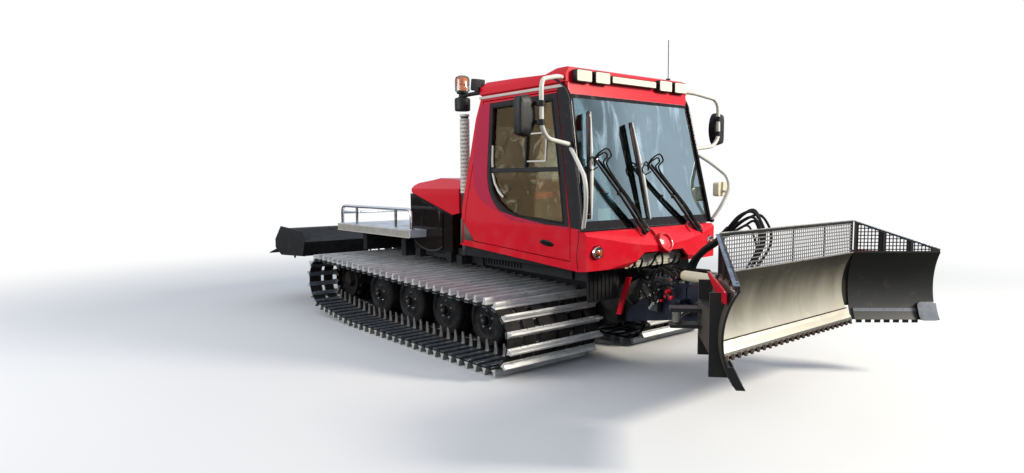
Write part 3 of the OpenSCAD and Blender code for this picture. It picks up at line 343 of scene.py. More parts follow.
def plasticLook(name, dark, pale, rough):
    return twoTone(name, (8, 6, 0.65), (0.4, 0.75), 0.6, (dark, pale), rough, 0.15, (600, 3, 0.0003, 0.5),
                   specular=0.28)


def steelLook(name, pale, dark):
    return twoTone(name, (14, 7, 0.7), (0.4, 0.65), 1.0, (pale, dark), 0.34, 0.25, (110, 5, 0.7, 0.0008, 0.5),
                   metal=0.8)


def rodChrome():
    g = Graph("rodChrome")
    filmAndPaintedReflection = g.cloud(18, 4, 0.6, g.stretched((0.3, 1, 1))).between(0.4, 0.7)
    colour = g.mix(filmAndPaintedReflection * 0.3, (0.86, 0.87, 0.88), (0.6, 0.58, 0.54))
    return g.finish(g.surface(colour=colour, metal=1.0, rough=0.08 + filmAndPaintedReflection * 0.15))


looks = {
    "red": redPaint(),
    # a deeper red for the door band: painted shade
    "shadeRed": redPaint("paintedShadeRedPaint", (0.42, 0.003, 0.038), (0.48, 0.004, 0.046)),
    "wetRed": redPaint("wetRedPaint", gloss=1.0),
    "black": blackPaint(), "alloy": trackAlloy(), "chrome": rodChrome(), "blade": bladeSteel(),
    "mirror": silverGlass(), "lens": lampLens(), "amber": lampLens("amberLens", (0.95, 0.2, 0.03), 0.2),
    "gloss": twoTone("blackGloss", (14, 6, 0.7), (0.5, 0.8), 0.25, ((0.008, 0.005, 0.005), (0.07, 0.055, 0.05)),
                     0.07, 0.2, (3.5, 3, 0.006, 0.25), coat=0.1, coatRough=0.03, specular=0.28),
    "rubber": twoTone("plainRubber", (6, 7, 0.7), (0.42, 0.7), 0.28, ((0.008, 0.008, 0.008), (0.1, 0.085, 0.07)),
                      0.72, 0.15, (120, 5, 0.7, 0.0012, 0.5), specular=0.2),
    "iron": twoTone("ironCast", (5, 5), (0.4, 0.7), 1.0, ((0.055, 0.058, 0.062), (0.02, 0.018, 0.016)),
                    0.5, 0.2, (200, 5, 0.7, 0.0012, 0.7), metal=0.3),
    "bright": twoTone("brightSteel", (12, 5), (0.4, 0.75), 0.4, ((0.78, 0.78, 0.79), (0.5, 0.49, 0.47)),
                      0.16, 0.18, (240, 3, 0.0003, 0.3), metal=1.0),
    "deck": twoTone("deckAlloy", (4, 6, 0.65), (0.4, 0.7), 1.0, ((0.62, 0.66, 0.72), (0.48, 0.49, 0.5)),
                    0.34, 0.25, (60, 5, 0.001, 0.5), metal=0.25),
    "glass": windowGlass(),
    # windscreen and side panes: painted sky reflections, tinted blue on the windscreen and brown on the side panes
    "screen": windowGlass("windscreenGlass", (0.9, 0.97, 0.97), (0.8, 0.98, 1.0), 0.15, 0.55, 2.6, 0.36),
    "pane": windowGlass("sideGlass", (0.84, 0.82, 0.74), (0.8, 0.62, 0.36), 0.04, 0.34, 11.0),
    "cloth": seatCloth(),
    "greyCloth": seatCloth("greyCloth", (0.16, 0.16, 0.165), (0.26, 0.26, 0.265)),
    "redCloth": seatCloth("redCloth", (0.8, 0.03, 0.016), (0.9, 0.06, 0.03)),
    "worn": steelLook("wornSteel", (0.42, 0.41, 0.4), (0.17, 0.15, 0.13)),
    "wire": steelLook("wireSteel", (0.36, 0.36, 0.37), (0.22, 0.2, 0.18)),
    "paleSteel": steelLook("paleBlueSteel", (0.26, 0.31, 0.39), (0.16, 0.19, 0.24)),
    "blueSteel": steelLook("blueGreySteel", (0.15, 0.165, 0.19), (0.1, 0.105, 0.12)),
    "backPlate": steelLook("backPlateSteel", (0.3, 0.34, 0.4), (0.16, 0.17, 0.19)),
    "stripSteel": steelLook("stripSteel", (0.62, 0.57, 0.5), (0.42, 0.37, 0.32)),
    "toothSteel": steelLook("toothSteel", (0.075, 0.045, 0.03), (0.03, 0.022, 0.018)),
    "grey": plasticLook("greyPlastic", (0.035, 0.036, 0.04), (0.07, 0.07, 0.075), 0.55),
    "plastic": plasticLook("blackPlastic", (0.01, 0.01, 0.011), (0.03, 0.03, 0.032), 0.45),
    "sleeve": plasticLook("hoseSleeve", (0.008, 0.008, 0.009), (0.03, 0.03, 0.03), 0.75),
    "cream": plasticLook("creamPaint", (0.66, 0.6, 0.44), (0.5, 0.44, 0.32), 0.45),
    "paleTrim": plasticLook("paleTrim", (0.3, 0.32, 0.32), (0.4, 0.42, 0.42), 0.6),
    "maroon": plasticLook("maroonBlack", (0.02, 0.008, 0.01), (0.045, 0.012, 0.016), 0.35),
    "satin": plasticLook("satinPipe", (0.62, 0.6, 0.55), (0.74, 0.72, 0.66), 0.3),
    "patch": plasticLook("brownPatch", (0.115, 0.085, 0.07), (0.16, 0.12, 0.1), 0.55),
    "bezel": plasticLook("beigePlate", (0.5, 0.47, 0.4), (0.38, 0.35, 0.3), 0.5),
    "navy": plasticLook("navyPaint", (0.01, 0.013, 0.03), (0.03, 0.034, 0.05), 0.38),
}
# The CAD nodes that take each look
nodeLooks = {
    "black": "chassis_tub wheel_arms drive_sprockets cab_floor lift_barrels angle_barrel_left angle_barrel_right"
             " wing_barrel_left wing_barrel_right rear_lift_frame tiller_hood tiller_barrels",
    "red": "hood_lid cab_frame cab_roof front_cowl door_left door_right",
    "chrome": "lift_rods angle_rod_left angle_rod_right wing_rod_left wing_rod_right tiller_rods",
    "blade": "blade_middle blade_screen wing_left wing_right tiller_shaft",
    "plastic": "wipers aerial beacon_post tiller_finisher", "bright": "mirrors exhaust_stack bed_rail",
    "rubber": "track_wheels blade_hoses", "alloy": "track_left track_right", "iron": "engine_block",
    "gloss": "hood_sides", "screen": "cab_glass", "pane": "door_glass_left door_glass_right", "cloth": "seats",
    "grey": "dash_console", "lens": "lamps", "deck": "cargo_bed", "navy": "push_frame",
}
for look, nodes in nodeLooks.items():
    for node in nodes.split():
        part = bpy.data.objects[node]
        part.data.materials.clear()
        part.data.materials.append(looks[look])

print("stage: shapes")


# Faces of a prism between two outlines of count points each
def prismFaces(count):
    return [(i, (i + 1) % count, count + (i + 1) % count, count + i) for i in range(count)] + [
        tuple(reversed(range(count))), tuple(range(count, 2 * count))]


# A point on a circle in the plane of two vectors
def onCircle(centre, u, v, radius, turn):
    return centre + u * (radius * math.cos(turn)) + v * (radius * math.sin(turn))


# Gathers faces for one piece, in metres, in the frame of the whole machine.
class Shape:
    def __init__(self):
        self.points = []
        self.faces = []

    def add(self, points, faces):
        start = len(self.points)
        self.points += [tuple(p) for p in points]
        self.faces += [tuple(start + i for i in face) for face in faces]

    def block(self, low, high):
        x0, y0, z0 = low
        x1, y1, z1 = high
        self.add([(x0, y0, z0), (x1, y0, z0), (x1, y1, z0), (x0, y1, z0),
                  (x0, y0, z1), (x1, y0, z1), (x1, y1, z1), (x0, y1, z1)],
                 [(0, 3, 2, 1), (4, 5, 6, 7), (0, 1, 5, 4), (1, 2, 6, 5), (2, 3, 7, 6), (3, 0, 4, 7)])

    def prism(self, one, other):
        self.add(list(one) + list(other), prismFaces(len(one)))

    # An outline of (u, v) run from one point to another; u and v follow the two given axes
    def run(self, outline, start, end, u=(0, 1, 0), v=(0, 0, 1)):
        u, v = Vector(u), Vector(v)
        self.prism(*[[Vector(base) + u * a + v * b for a, b in outline] for base in (start, end)])

    # An outline in X and Z between two places on Y
    def slab(self, outline, y0, y1):
        self.run(outline, (0, y0, 0), (0, y1, 0), (1, 0, 0), (0, 0, 1))

    def rod(self, start, end, radius, sides=20):
        self.loft([(start, radius), (end, radius)], sides)

    # Rings of given radius along a path of points
    def loft(self, stations, sides=16):
        places = [Vector(p) for p, r in stations]
        side = None
        rings = []
        for i, (place, radius) in enumerate(zip(places, [r for p, r in stations])):
            along = places[min(i + 1, len(places) - 1)] - places[max(i - 1, 0)]
            if along.length < 1e-9:
                along = Vector((0, 0, 1))
            along.normalize()
            if side is None:
                side = along.orthogonal().normalized()
            side = (side - along * side.dot(along))
            if side.length < 1e-6:
                side = along.orthogonal()
            side.normalize()
            other = along.cross(side)
            rings.append([onCircle(place, side, other, radius, 2 * math.pi * k / sides) for k in range(sides)])
        self.rings(rings)

    # Rings joined into a skin, with a cap at each end
    def rings(self, rows, closed=False):
        sides = len(rows[0])
        faces = [] if closed else [tuple(reversed(range(sides))),
                                   tuple(range((len(rows) - 1) * sides, len(rows) * sides))]
        self.skin(rows, True, closed, faces)

    def tube(self, points, radius, sides=12, bend=0.0):
        path = rounded(points, bend) if bend else points
        self.loft([(p, radius) for p in path], sides)

    # A profile of (distance along the axis, radius) turned about a line from centre along axis
    def lathe(self, profile, centre, axis, sides=32, closed=False):
        centre, axis = Vector(centre), Vector(axis).normalized()
        side = axis.orthogonal().normalized()
        other = axis.cross(side)
        self.rings([[onCircle(centre + axis * d, side, other, r, 2 * math.pi * k / sides) for k in range(sides)]
                    for d, r in profile], closed)

    # Rows of points, all of one length, joined into a skin; loop closes each row, around joins the last to the first
    def skin(self, rows, loop=False, around=False, caps=()):
        width, count = len(rows[0]), len(rows)
        faces = [(i * width + k, i * width + (k + 1) % width, (i + 1) % count * width + (k + 1) % width,
                  (i + 1) % count * width + k)
                 for i in range(count if around else count - 1) for k in range(width if loop else width - 1)]
        self.add([p for row in rows for p in row], faces + list(caps))

    def ball(self, centre, radius, tall=1.0, rings=10, sides=16):
        rows = []
        for i in range(rings + 1):
            tilt = math.pi * i / rings
            rows.append([Vector(centre) + Vector((radius * math.sin(tilt) * math.cos(2 * math.pi * k / sides),
                                                  radius * math.sin(tilt) * math.sin(2 * math.pi * k / sides),
                                                  radius * tall * math.cos(tilt))) for k in range(sides)])
        self.skin(rows, loop=True)

    # The same shape on the machine's other side, beside it or in its place
    def mirrored(self):
        start = len(self.points)
        self.points += [(x, -y, z) for x, y, z in self.points]
        self.faces += [tuple(start + i for i in reversed(face)) for face in self.faces]
        return self

    def flipped(self):
        self.points = [(x, -y, z) for x, y, z in self.points]
        self.faces = [tuple(reversed(face)) for face in self.faces]

    # The piece itself; a piece that bends between two bodies rides none, so its body is None
    def piece(self, name, look, body="vehicle", bevel=0.0, smooth=35, slot=None, steps=2, subdivide=0, thick=0.0):
        mesh = bpy.data.meshes.new(name)
        mesh.from_pydata(self.points, [], self.faces)
        mesh.materials.append(looks[look])
        piece = finishedPiece(name, mesh, 1e-5, smooth)
        if thick:
            skin = piece.modifiers.new("thickness", "SOLIDIFY")
            skin.thickness = thick
            skin.offset = -1
        if subdivide:
            fine = piece.modifiers.new("smoothing", "SUBSURF")
            fine.levels = fine.render_levels = subdivide
        if bevel:
            addBevel(piece, bevel, smooth, steps)
        if body:
            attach(piece, body)
        return piece


# A new object from a mesh: no doubles, smooth but for edges sharper than the angle; flat areas are
# joined where flat is given, else all faces are turned outwards
def finishedPiece(name, mesh, near, angle, flat=0):
    work = bmesh.new()
    work.from_mesh(mesh)
    bmesh.ops.remove_doubles(work, verts=work.verts, dist=near)
    if flat:
        bmesh.ops.dissolve_limit(work, angle_limit=math.radians(flat), verts=work.verts, edges=work.edges)
    else:
        bmesh.ops.recalc_face_normals(work, faces=work.faces)
    for face in work.faces:
        face.smooth = True
    for edge in work.edges:
        edge.smooth = not (len(edge.link_faces) == 2 and edge.calc_face_angle(0) > math.radians(angle))
    work.to_mesh(mesh)
    work.free()
    piece = bpy.data.objects.new(name, mesh)
    bpy.context.collection.objects.link(piece)
    return piece


def addBevel(piece, width, angle, steps=2):
    edge = piece.modifiers.new("edges", "BEVEL")
    edge.width = width
    edge.segments = steps
    edge.limit_method = "ANGLE"
    edge.angle_limit = math.radians(angle)
    edge.use_clamp_overlap = True
    edge.harden_normals = True


# A copy of a CAD node's own mesh with its edges eased
def easedNode(node, body="vehicle", bevel=0.004):
    piece = finishedPiece(node + "_finished", bpy.data.objects[node].data.copy(), 2e-5, 32, 1.0)
    addBevel(piece, bevel, 32)
    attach(piece, body)
    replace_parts(piece, node)


def shapes(count):
    return [Shape() for i in range(count)]


# A path with its corners turned into arcs of about the given radius
def rounded(points, radius, steps=6):
    points = [Vector(p) for p in points]
    path = [points[0]]
    for before, corner, after in zip(points, points[1:], points[2:]):
        back, ahead = before - corner, after - corner
        reach = min(radius, back.length * 0.48, ahead.length * 0.48)
        a, b = corner + back.normalized() * reach, corner + ahead.normalized() * reach
        for k in range(steps + 1):
            t = k / steps
            path.append(a * (1 - t) ** 2 + corner * (2 * t * (1 - t)) + b * t ** 2)
    return path + [points[-1]]


# A smooth curve through all its points
def flowing(points, steps=8):
    points = [Vector(p) for p in points]
    ends = [points[0] * 2 - points[1]] + points + [points[-1] * 2 - points[-2]]
    path = []
    for p0, p1, p2, p3 in zip(ends, ends[1:], ends[2:], ends[3:]):
        for k in range(steps):
            t = k / steps
            path.append(0.5 * ((p1 * 2) + (p2 - p0) * t + (p0 * 2 - p1 * 5 + p2 * 4 - p3) * t ** 2
                               + (p1 * 3 - p0 - p2 * 3 + p3) * t ** 3))
    return path + [points[-1]]


def roundedBox(x0, z0, x1, z1, radius, steps=4):
    outline = []
    for cx, cz, start in ((x1 - radius, z0 + radius, -90), (x1 - radius, z1 - radius, 0),
                          (x0 + radius, z1 - radius, 90), (x0 + radius, z0 + radius, 180)):
        for k in range(steps + 1):
            turn = math.radians(start + 90 * k / steps)
            outline.append((cx + radius * math.cos(turn), cz + radius * math.sin(turn)))
    return outline


def centredBox(halfU, halfV, radius, steps=4):
    return roundedBox(-halfU, -halfV, halfU, halfV, radius, steps)


def rectangle(u0, v0, u1, v1):
    return [(u0, v0), (u1, v0), (u1, v1), (u0, v1)]


# An outline's left half followed by its mirror image
def bothHalves(half):
    return half + [(-u, v) for u, v in reversed(half)]


# Two unit vectors in X and Z: at an angle from X, and a quarter turn further
def turned(angle):
    return Vector((math.cos(angle), 0, math.sin(angle))), Vector((-math.sin(angle), 0, math.cos(angle)))


print("stage: tracks")

trackPlan = {"outer": 1.44, "barLength": 1.1, "barHeight": 0.062, "belt": 0.018, "pitch": 0.13,
             "idler": (1.39, 0.34, 0.26), "wheel": (0.82, 0.346, 0.266), "wheelStep": 0.7,
             "sprocket": (-2.09, 0.43, 0.27),
             "belts": [(-0.465, 0.15), (-0.105, 0.13), (0.105, 0.13), (-0.29, 0.12), (0.29, 0.12), (0.465, 0.15)],
             "teeth": 0.205, "toothHeight": 0.118}
trackInner = trackPlan["outer"] - trackPlan["barLength"]
trackMid = trackPlan["outer"] - trackPlan["barLength"] / 2


class Loop:
    def __init__(self, plan):
        ix, iz, ir = plan["idler"]
        wx, wz, wr = plan["wheel"]
        sx, sz, sr = plan["sprocket"]
        lx = wx - 3 * plan["wheelStep"]
        topD = math.hypot(ix - sx, iz - sz)
        topA = math.atan2(iz - sz, ix - sx) + math.acos((sr - ir) / topD)
        rearD = math.hypot(lx - sx, wz - sz)
        rearA = math.atan2(wz - sz, lx - sx) - math.acos((sr - wr) / rearD)
        half = math.pi / 2
        # Each stretch: length, start angle of the outward normal, centre, radius of its arc
        self.parts = [(ix - lx, -half, (lx, iz - ir), 0), (ir * (topA + half), -half, (ix, iz), ir),
                      (math.sqrt(topD ** 2 - (sr - ir) ** 2), topA,
                       (ix + ir * math.cos(topA), iz + ir * math.sin(topA)), 0),
                      (sr * (2 * math.pi + rearA - topA), topA, (sx, sz), sr),
                      (math.sqrt(rearD ** 2 - (sr - wr) ** 2), rearA,
                       (sx + sr * math.cos(rearA), sz + sr * math.sin(rearA)), 0),
                      (wr * (-half - rearA), rearA, (lx, wz), wr)]
        self.length = sum(p[0] for p in self.parts)
        self.bars = round(self.length / plan["pitch"])

    # Place on the path and the outward normal's angle at a length along it
    def at(self, s, off=0.0):
        s = s % self.length
        for length, angle, centre, radius in self.parts:
            if s <= length:
                break
            s -= length
        if radius:
            angle += s / radius
            reach = radius + off
            return (centre[0] + reach * math.cos(angle), centre[1] + reach * math.sin(angle)), angle
        return (centre[0] + off * math.cos(angle) - s * math.sin(angle),
                centre[1] + off * math.sin(angle) + s * math.cos(angle)), angle

    # Each bar's x and z, its outward normal and its direction along the path
    def stations(self, off=0.0):
        for i in range(self.bars):
            (x, z), angle = self.at(i * (self.length / self.bars), off)
            yield x, z, *turned(angle)


loop = Loop(trackPlan)


def trackBars(shape, plan):
    high = plan["barHeight"]
    profile = bothHalves([(-0.029, 0.0), (-0.029, 0.01), (-0.017, 0.018), (-0.013, high - 0.006), (-0.008, high)])
    for i, (x, z, out, along) in enumerate(loop.stations(plan["belt"])):
        wobble = 0.004 * noise.noise(Vector((i * 7.3, 0.2, 0.5)))
        shape.run(profile, (x, trackInner + 0.002 + wobble, z), (x, plan["outer"] - 0.002 + wobble, z), along, out)


def trackBolts(shape, plan):
    for x, z, out, along in loop.stations(plan["belt"] + 0.01):
        for across, width in plan["belts"]:
            for shift in (-0.35, 0.35):
                place = Vector((x, trackMid + across + shift * width, z)) + along * 0.023
                shape.lathe([(0, 0.007), (0.004, 0.007), (0.005, 0.0056)], place, out, 6)


def trackBelts(shape, plan):
    steps = loop.bars * 3
    for across, width in plan["belts"]:
        rows = []
        for k in range(steps):
            row = []
            for a, off in ((-width / 2, 0.0), (width / 2, 0.0), (width / 2, plan["belt"]), (-width / 2, plan["belt"])):
                x, z = loop.at(k * loop.length / steps, off)[0]
                row.append((x, trackMid + across + a, z))
            rows.append(row)
        shape.skin(rows + rows[:1], loop=True)


# Guide teeth stand up inside the loop and keep the wheels in line
def trackTeeth(shape, plan):
    tall = plan["toothHeight"]
    outline = [(-0.03, 0.004), (0.03, 0.004), (0.026, -0.05), (0.012, -tall + 0.014), (0.004, -tall),
               (-0.012, -tall), (-0.02, -tall + 0.016), (-0.018, -0.05)]
    base = rectangle(-0.034, -0.006, 0.034, 0.0)
    for x, z, out, along in loop.stations():
        for across in (-plan["teeth"], plan["teeth"]):
            foot = Vector((x, trackMid + across, z))
            for form, half in ((outline, Vector((0, 0.006, 0))), (base, Vector((0, 0.034, 0)))):
                shape.run(form, foot - half, foot + half, along, out)


# Backing plates of the bars on the inside of the belts, beside the wheels
def trackPlates(shape, plan):
    for x, z, out, along in loop.stations():
        for y0, y1 in ((trackInner + 0.004, 0.65), (1.128, plan["outer"] - 0.004)):
            shape.run([(-0.03, 0.002), (-0.026, -0.007), (0.026, -0.007), (0.03, 0.002)], (x, y0, z), (x, y1, z),
                      along, out)


trackShapes = bars, bolts, belts, teeth, plates = shapes(5)
trackBars(bars, trackPlan)
trackPlates(plates, trackPlan)
trackBolts(bolts, trackPlan)
trackBelts(belts, trackPlan)
trackTeeth(teeth, trackPlan)
for side in ("left", "right"):
    piece = bars.piece("trackBars_" + side, "alloy", bevel=0.0015, steps=1)
    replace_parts(piece, "track_" + side)
    bolts.piece("trackBolts_" + side, "bright")
    plates.piece("trackPlates_" + side, "backPlate")
    belts.piece("trackBelts_" + side, "rubber")
    teeth.piece("guideTeeth_" + side, "worn", slot="track_alloy")
    for shape in trackShapes:
        shape.flipped()

print("stage: running gear")

wheelPlan = {"y": 0.89, "width": 0.25,
             "axles": [(1.39, 0.34, 0.26)] + [(0.82 - 0.7 * i, 0.346, 0.266) for i in range(4)]}


# Tyre, disc and bolts of one road wheel
def wheelPair(tyres, discs, bolts, x, z, r):
    half = wheelPlan["width"] / 2
    tread = bothHalves([(-half, r - 0.058), (-half + 0.002, r - 0.03), (-half + 0.012, r - 0.012),
                        (-half + 0.034, r - 0.001), (-0.06, r), (-0.056, r - 0.006), (-0.048, r - 0.006), (-0.044, r)])
    tread += [(half - 0.01, r - 0.064), (-half + 0.01, r - 0.064)]
    centre = (x, wheelPlan["y"], z)
    tyres.lathe(tread, centre, (0, 1, 0), 64, closed=True)
    disc = [(half - 0.045, 0.0), (half - 0.045, r - 0.06), (half - 0.004, r - 0.061), (half - 0.002, r - 0.066),
            (half - 0.006, r - 0.072), (half - 0.018, r - 0.078), (half - 0.024, r - 0.092),
            (half - 0.016, 0.125), (half - 0.012, 0.112), (half - 0.012, 0.08), (half + 0.002, 0.066),
            (half + 0.004, 0.046), (half + 0.04, 0.042), (half + 0.046, 0.036), (half + 0.047, 0.0)]
    discs.lathe(disc, centre, (0, 1, 0), 48)
    for k in range(5):
        turn = 2 * math.pi * k / 5 + 0.3
        place = Vector(centre) + Vector((0.092 * math.cos(turn), half - 0.012, 0.092 * math.sin(turn)))
        bolts.lathe([(0, 0.013), (0.003, 0.013), (0.003, 0.009), (0.012, 0.009), (0.015, 0.006)], place, (0, 1, 0), 12)
    bolts.lathe([(half + 0.046, 0.016), (half + 0.049, 0.014), (half + 0.05, 0.002)], centre, (0, 1, 0), 16)


tyres, discs, bolts = shapes(3)
for axle in wheelPlan["axles"]:
    wheelPair(tyres, discs, bolts, *axle)
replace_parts(tyres.mirrored().piece("roadTyres", "rubber"), "track_wheels")
discs.mirrored().piece("wheelDiscs", "black")
bolts.mirrored().piece("wheelBolts", "bright")


# Drum of the sprocket with 13 pairs of teeth
def sprocketShape(shape):
    x, z, r = trackPlan["sprocket"]
    centre = (x, wheelPlan["y"], z)
    shape.lathe([(-0.125, 0.05), (-0.125, r - 0.045), (0.125, r - 0.045), (0.125, r - 0.1), (0.085, r - 0.12),
                 (0.085, 0.1), (0.15, 0.085), (0.15, 0.02)], centre, (0, 1, 0), 52)
    for k in range(13):
        turn = 2 * math.pi * (k + 0.5) / 13
        out, along = turned(turn)
        for y0, y1 in ((-0.095, -0.055), (0.055, 0.095)):
            base = Vector(centre) + out * (r - 0.05)
            shape.run([(-0.03, 0.0), (0.03, 0.0), (0.016, 0.046), (-0.016, 0.046)],
                      base + Vector((0, y0, 0)), base + Vector((0, y1, 0)), along, out)


sprockets = Shape()
sprocketShape(sprockets)
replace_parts(sprockets.mirrored().piece("driveDrums", "rubber", bevel=0.003), "drive_sprockets")
easedNode("wheel_arms")
easedNode("chassis_tub", bevel=0.006)


# Swing arms from the tub to each wheel, with their rubber springs
def swingArms(arms, springs):
    for x, z in [axle[:2] for axle in wheelPlan["axles"][1:]]:
        arms.slab([(x - 0.05, z - 0.055), (x + 0.03, z - 0.06), (x + 0.27, z + 0.02), (x + 0.3, z + 0.1),
                   (x + 0.24, z + 0.13), (x + 0.02, z + 0.06), (x - 0.05, z + 0.05)], 0.34, 0.372)
        arms.rod((x + 0.26, 0.298, z + 0.075), (x + 0.26, 0.42, z + 0.075), 0.075, 28)
        springs.rod((x + 0.26, 0.42, z + 0.075), (x + 0.26, 0.52, z + 0.075), 0.058, 24)
        springs.rod((x, 0.372, z), (x, 0.64, z), 0.062, 24)


arms, springs = shapes(2)
swingArms(arms, springs)
arms.mirrored().piece("swingArms", "black", bevel=0.004)
springs.mirrored().piece("armSprings", "rubber", bevel=0.003)

print("stage: cab")

cabPlan = {"half": 0.9, "belt": 1.262, "lean": 0.075 / 1.158, "screenLow": (1.997, 1.262),
           "screenHigh": (1.755, 2.42)}


def sideY(z):
    return cabPlan["half"] - max(0.0, z - cabPlan["belt"]) * cabPlan["lean"]


def screenX(z):
    (x0, z0), (x1, z1) = cabPlan["screenLow"], cabPlan["screenHigh"]
    return x0 + (x1 - x0) * (z - z0) / (z1 - z0)


# Points on the cab's side, moved out by lift; side is 1 for left and -1 for right
def onSide(outline, side, lift=0.0):
    return [Vector((x, side * (sideY(z) + lift), z)) for x, z in outline]


# A plate on the cab's side between an outer and an inner outline of as many points
def sideRing(outer, inner, side, lift, thick):
    shape = Shape()
    rows = [onSide(outer, side, lift), onSide(inner, side, lift),
            onSide(inner, side, lift - thick), onSide(outer, side, lift - thick)]
    shape.skin(rows + rows[:1], loop=True)
    return shape


# A plate of any outline on the cab's side
def sidePlate(outline, side, lift, thick):
    shape = Shape()
    shape.prism(onSide(outline, side, lift), onSide(outline, side, lift - thick))
    return shape


# The door window's outline, with its curved lower rear corner, made larger by grow
def windowEdge(grow=0.0):
    x0 = 0.715 - grow
    edge = [(x0, 2.39 + grow), (x0, 2.1), (x0, 1.76)]
    edge += [(x0 + 0.56 * (1 - math.cos(math.radians(a))), 1.76 - (0.42 + grow) * math.sin(math.radians(a)))
             for a in range(12, 76, 9)]
    edge += [(screenX(1.3) - 0.215 + grow, 1.315 - grow), (screenX(1.8) - 0.203 + grow, 1.8),
             (screenX(2.46) - 0.19 + grow, 2.39 + grow)]
    return edge


# CAD nodes that keep their form, by the body they ride on
easedNodes = {
    "vehicle": "cab_frame cab_roof front_cowl cab_floor hood_sides cargo_bed dash_console", "hood_lid": "hood_lid",
    "door_left": "door_left", "door_right": "door_right", "push_frame": "push_frame", "blade": "blade_middle",
    "wing_left": "wing_left", "wing_right": "wing_right", "tiller_carrier": "rear_lift_frame",
    "tiller": "tiller_hood tiller_finisher",
}
for body, nodes in easedNodes.items():
    for node in nodes.split():
        easedNode(node, body, 0.005 if body in ("vehicle", "hood_lid") else 0.003)

sides = (("left", 1), ("right", -1))
for name, side in sides:
    outer = windowEdge(0.042)
    outer[-3] = (screenX(1.29) - 0.152, 1.287)
    outer[-2] = (screenX(1.8) - 0.143, 1.8)
    outer[-1] = (screenX(2.44) - 0.143, 2.44)
    surround = sideRing(outer, windowEdge(-0.004), side, 0.003, 0.006)
    surround.piece("windowSurround_" + name, "gloss", "door_" + name, bevel=0.0012)
    seal = sideRing(windowEdge(0.006), windowEdge(-0.012), side, 0.007, 0.022)
    seal.piece("windowSeal_" + name, "rubber", "door_" + name, bevel=0.003)
    bar = Shape()
    bar.block((0.735, 0, 1.762), (screenX(1.8) - 0.195, 1, 1.8))
    bar.points = [(x, side * (sideY(z) + (0.004 if y else -0.03)), z) for x, y, z in bar.points]
    bar.block((1.222, 0, 1.8), (1.238, 1, 2.105))
    bar.points = bar.points[:8] + [(x, side * (sideY(z) + (0.002 if y else -0.024)), z) for x, y, z in bar.points[8:]]
    bar.piece("windowBars_" + name, "plastic", "door_" + name, bevel=0.002)
    pillar = sidePlate([(screenX(1.282) - 0.134, 1.282), (screenX(1.268) - 0.004, 1.268),
                        (screenX(2.42) - 0.004, 2.42), (screenX(2.478) - 0.01, 2.478),
                        (screenX(2.478) - 0.132, 2.478), (screenX(1.8) - 0.132, 1.8)], side, 0.003, 0.006)
    pillar.piece("pillarCover_" + name, "gloss", bevel=0.0015)
    gutter = Shape()
    gutter.run([(-0.002, -0.014), (0.014, -0.01), (0.018, 0.012), (0.012, 0.014), (0.008, -0.002), (-0.002, -0.002)],
               (0.505, side * sideY(2.492), 2.492), (1.705, side * sideY(2.492), 2.492), (0, side, 0), (0, 0, 1))
    gutter.piece("gutter_" + name, "satin", bevel=0.001)

print("stage: glass")


# Black border round the windscreen
def glassFrame():
    shape = Shape()
    outer, inner = [], []
    for z, side, inset, drop in ((1.264, -1, 0.055, 0.075), (1.264, 1, 0.055, 0.075),
                                 (2.418, 1, 0.05, -0.03), (2.418, -1, 0.05, -0.03)):
        outer.append(Vector((screenX(z) + 0.0015, side * (sideY(z) - 0.003), z)))
        inner.append(Vector((screenX(z + drop) + 0.0015, side * (sideY(z + drop) - inset), z + drop)))
    back = [p - Vector((0.004, 0, 0)) for p in inner]
    shape.skin([outer, inner, back], loop=True)
    return shape


glassFrame().piece("screenBorder", "gloss")

# A wiper: base on the cowl, elbow beside its blade, and the blade's two ends
wipers = [{"base": (2.05, -0.165, 1.212), "joint": (1.905, -0.7, 1.85), "top": (1.817, -0.663, 2.267),
           "low": (2.006, -0.842, 1.361)},
          {"base": (2.04, 0.65, 1.168), "joint": (1.915, -0.015, 1.815), "top": (1.832, -0.135, 2.197),
           "low": (2.013, -0.089, 1.33)}]


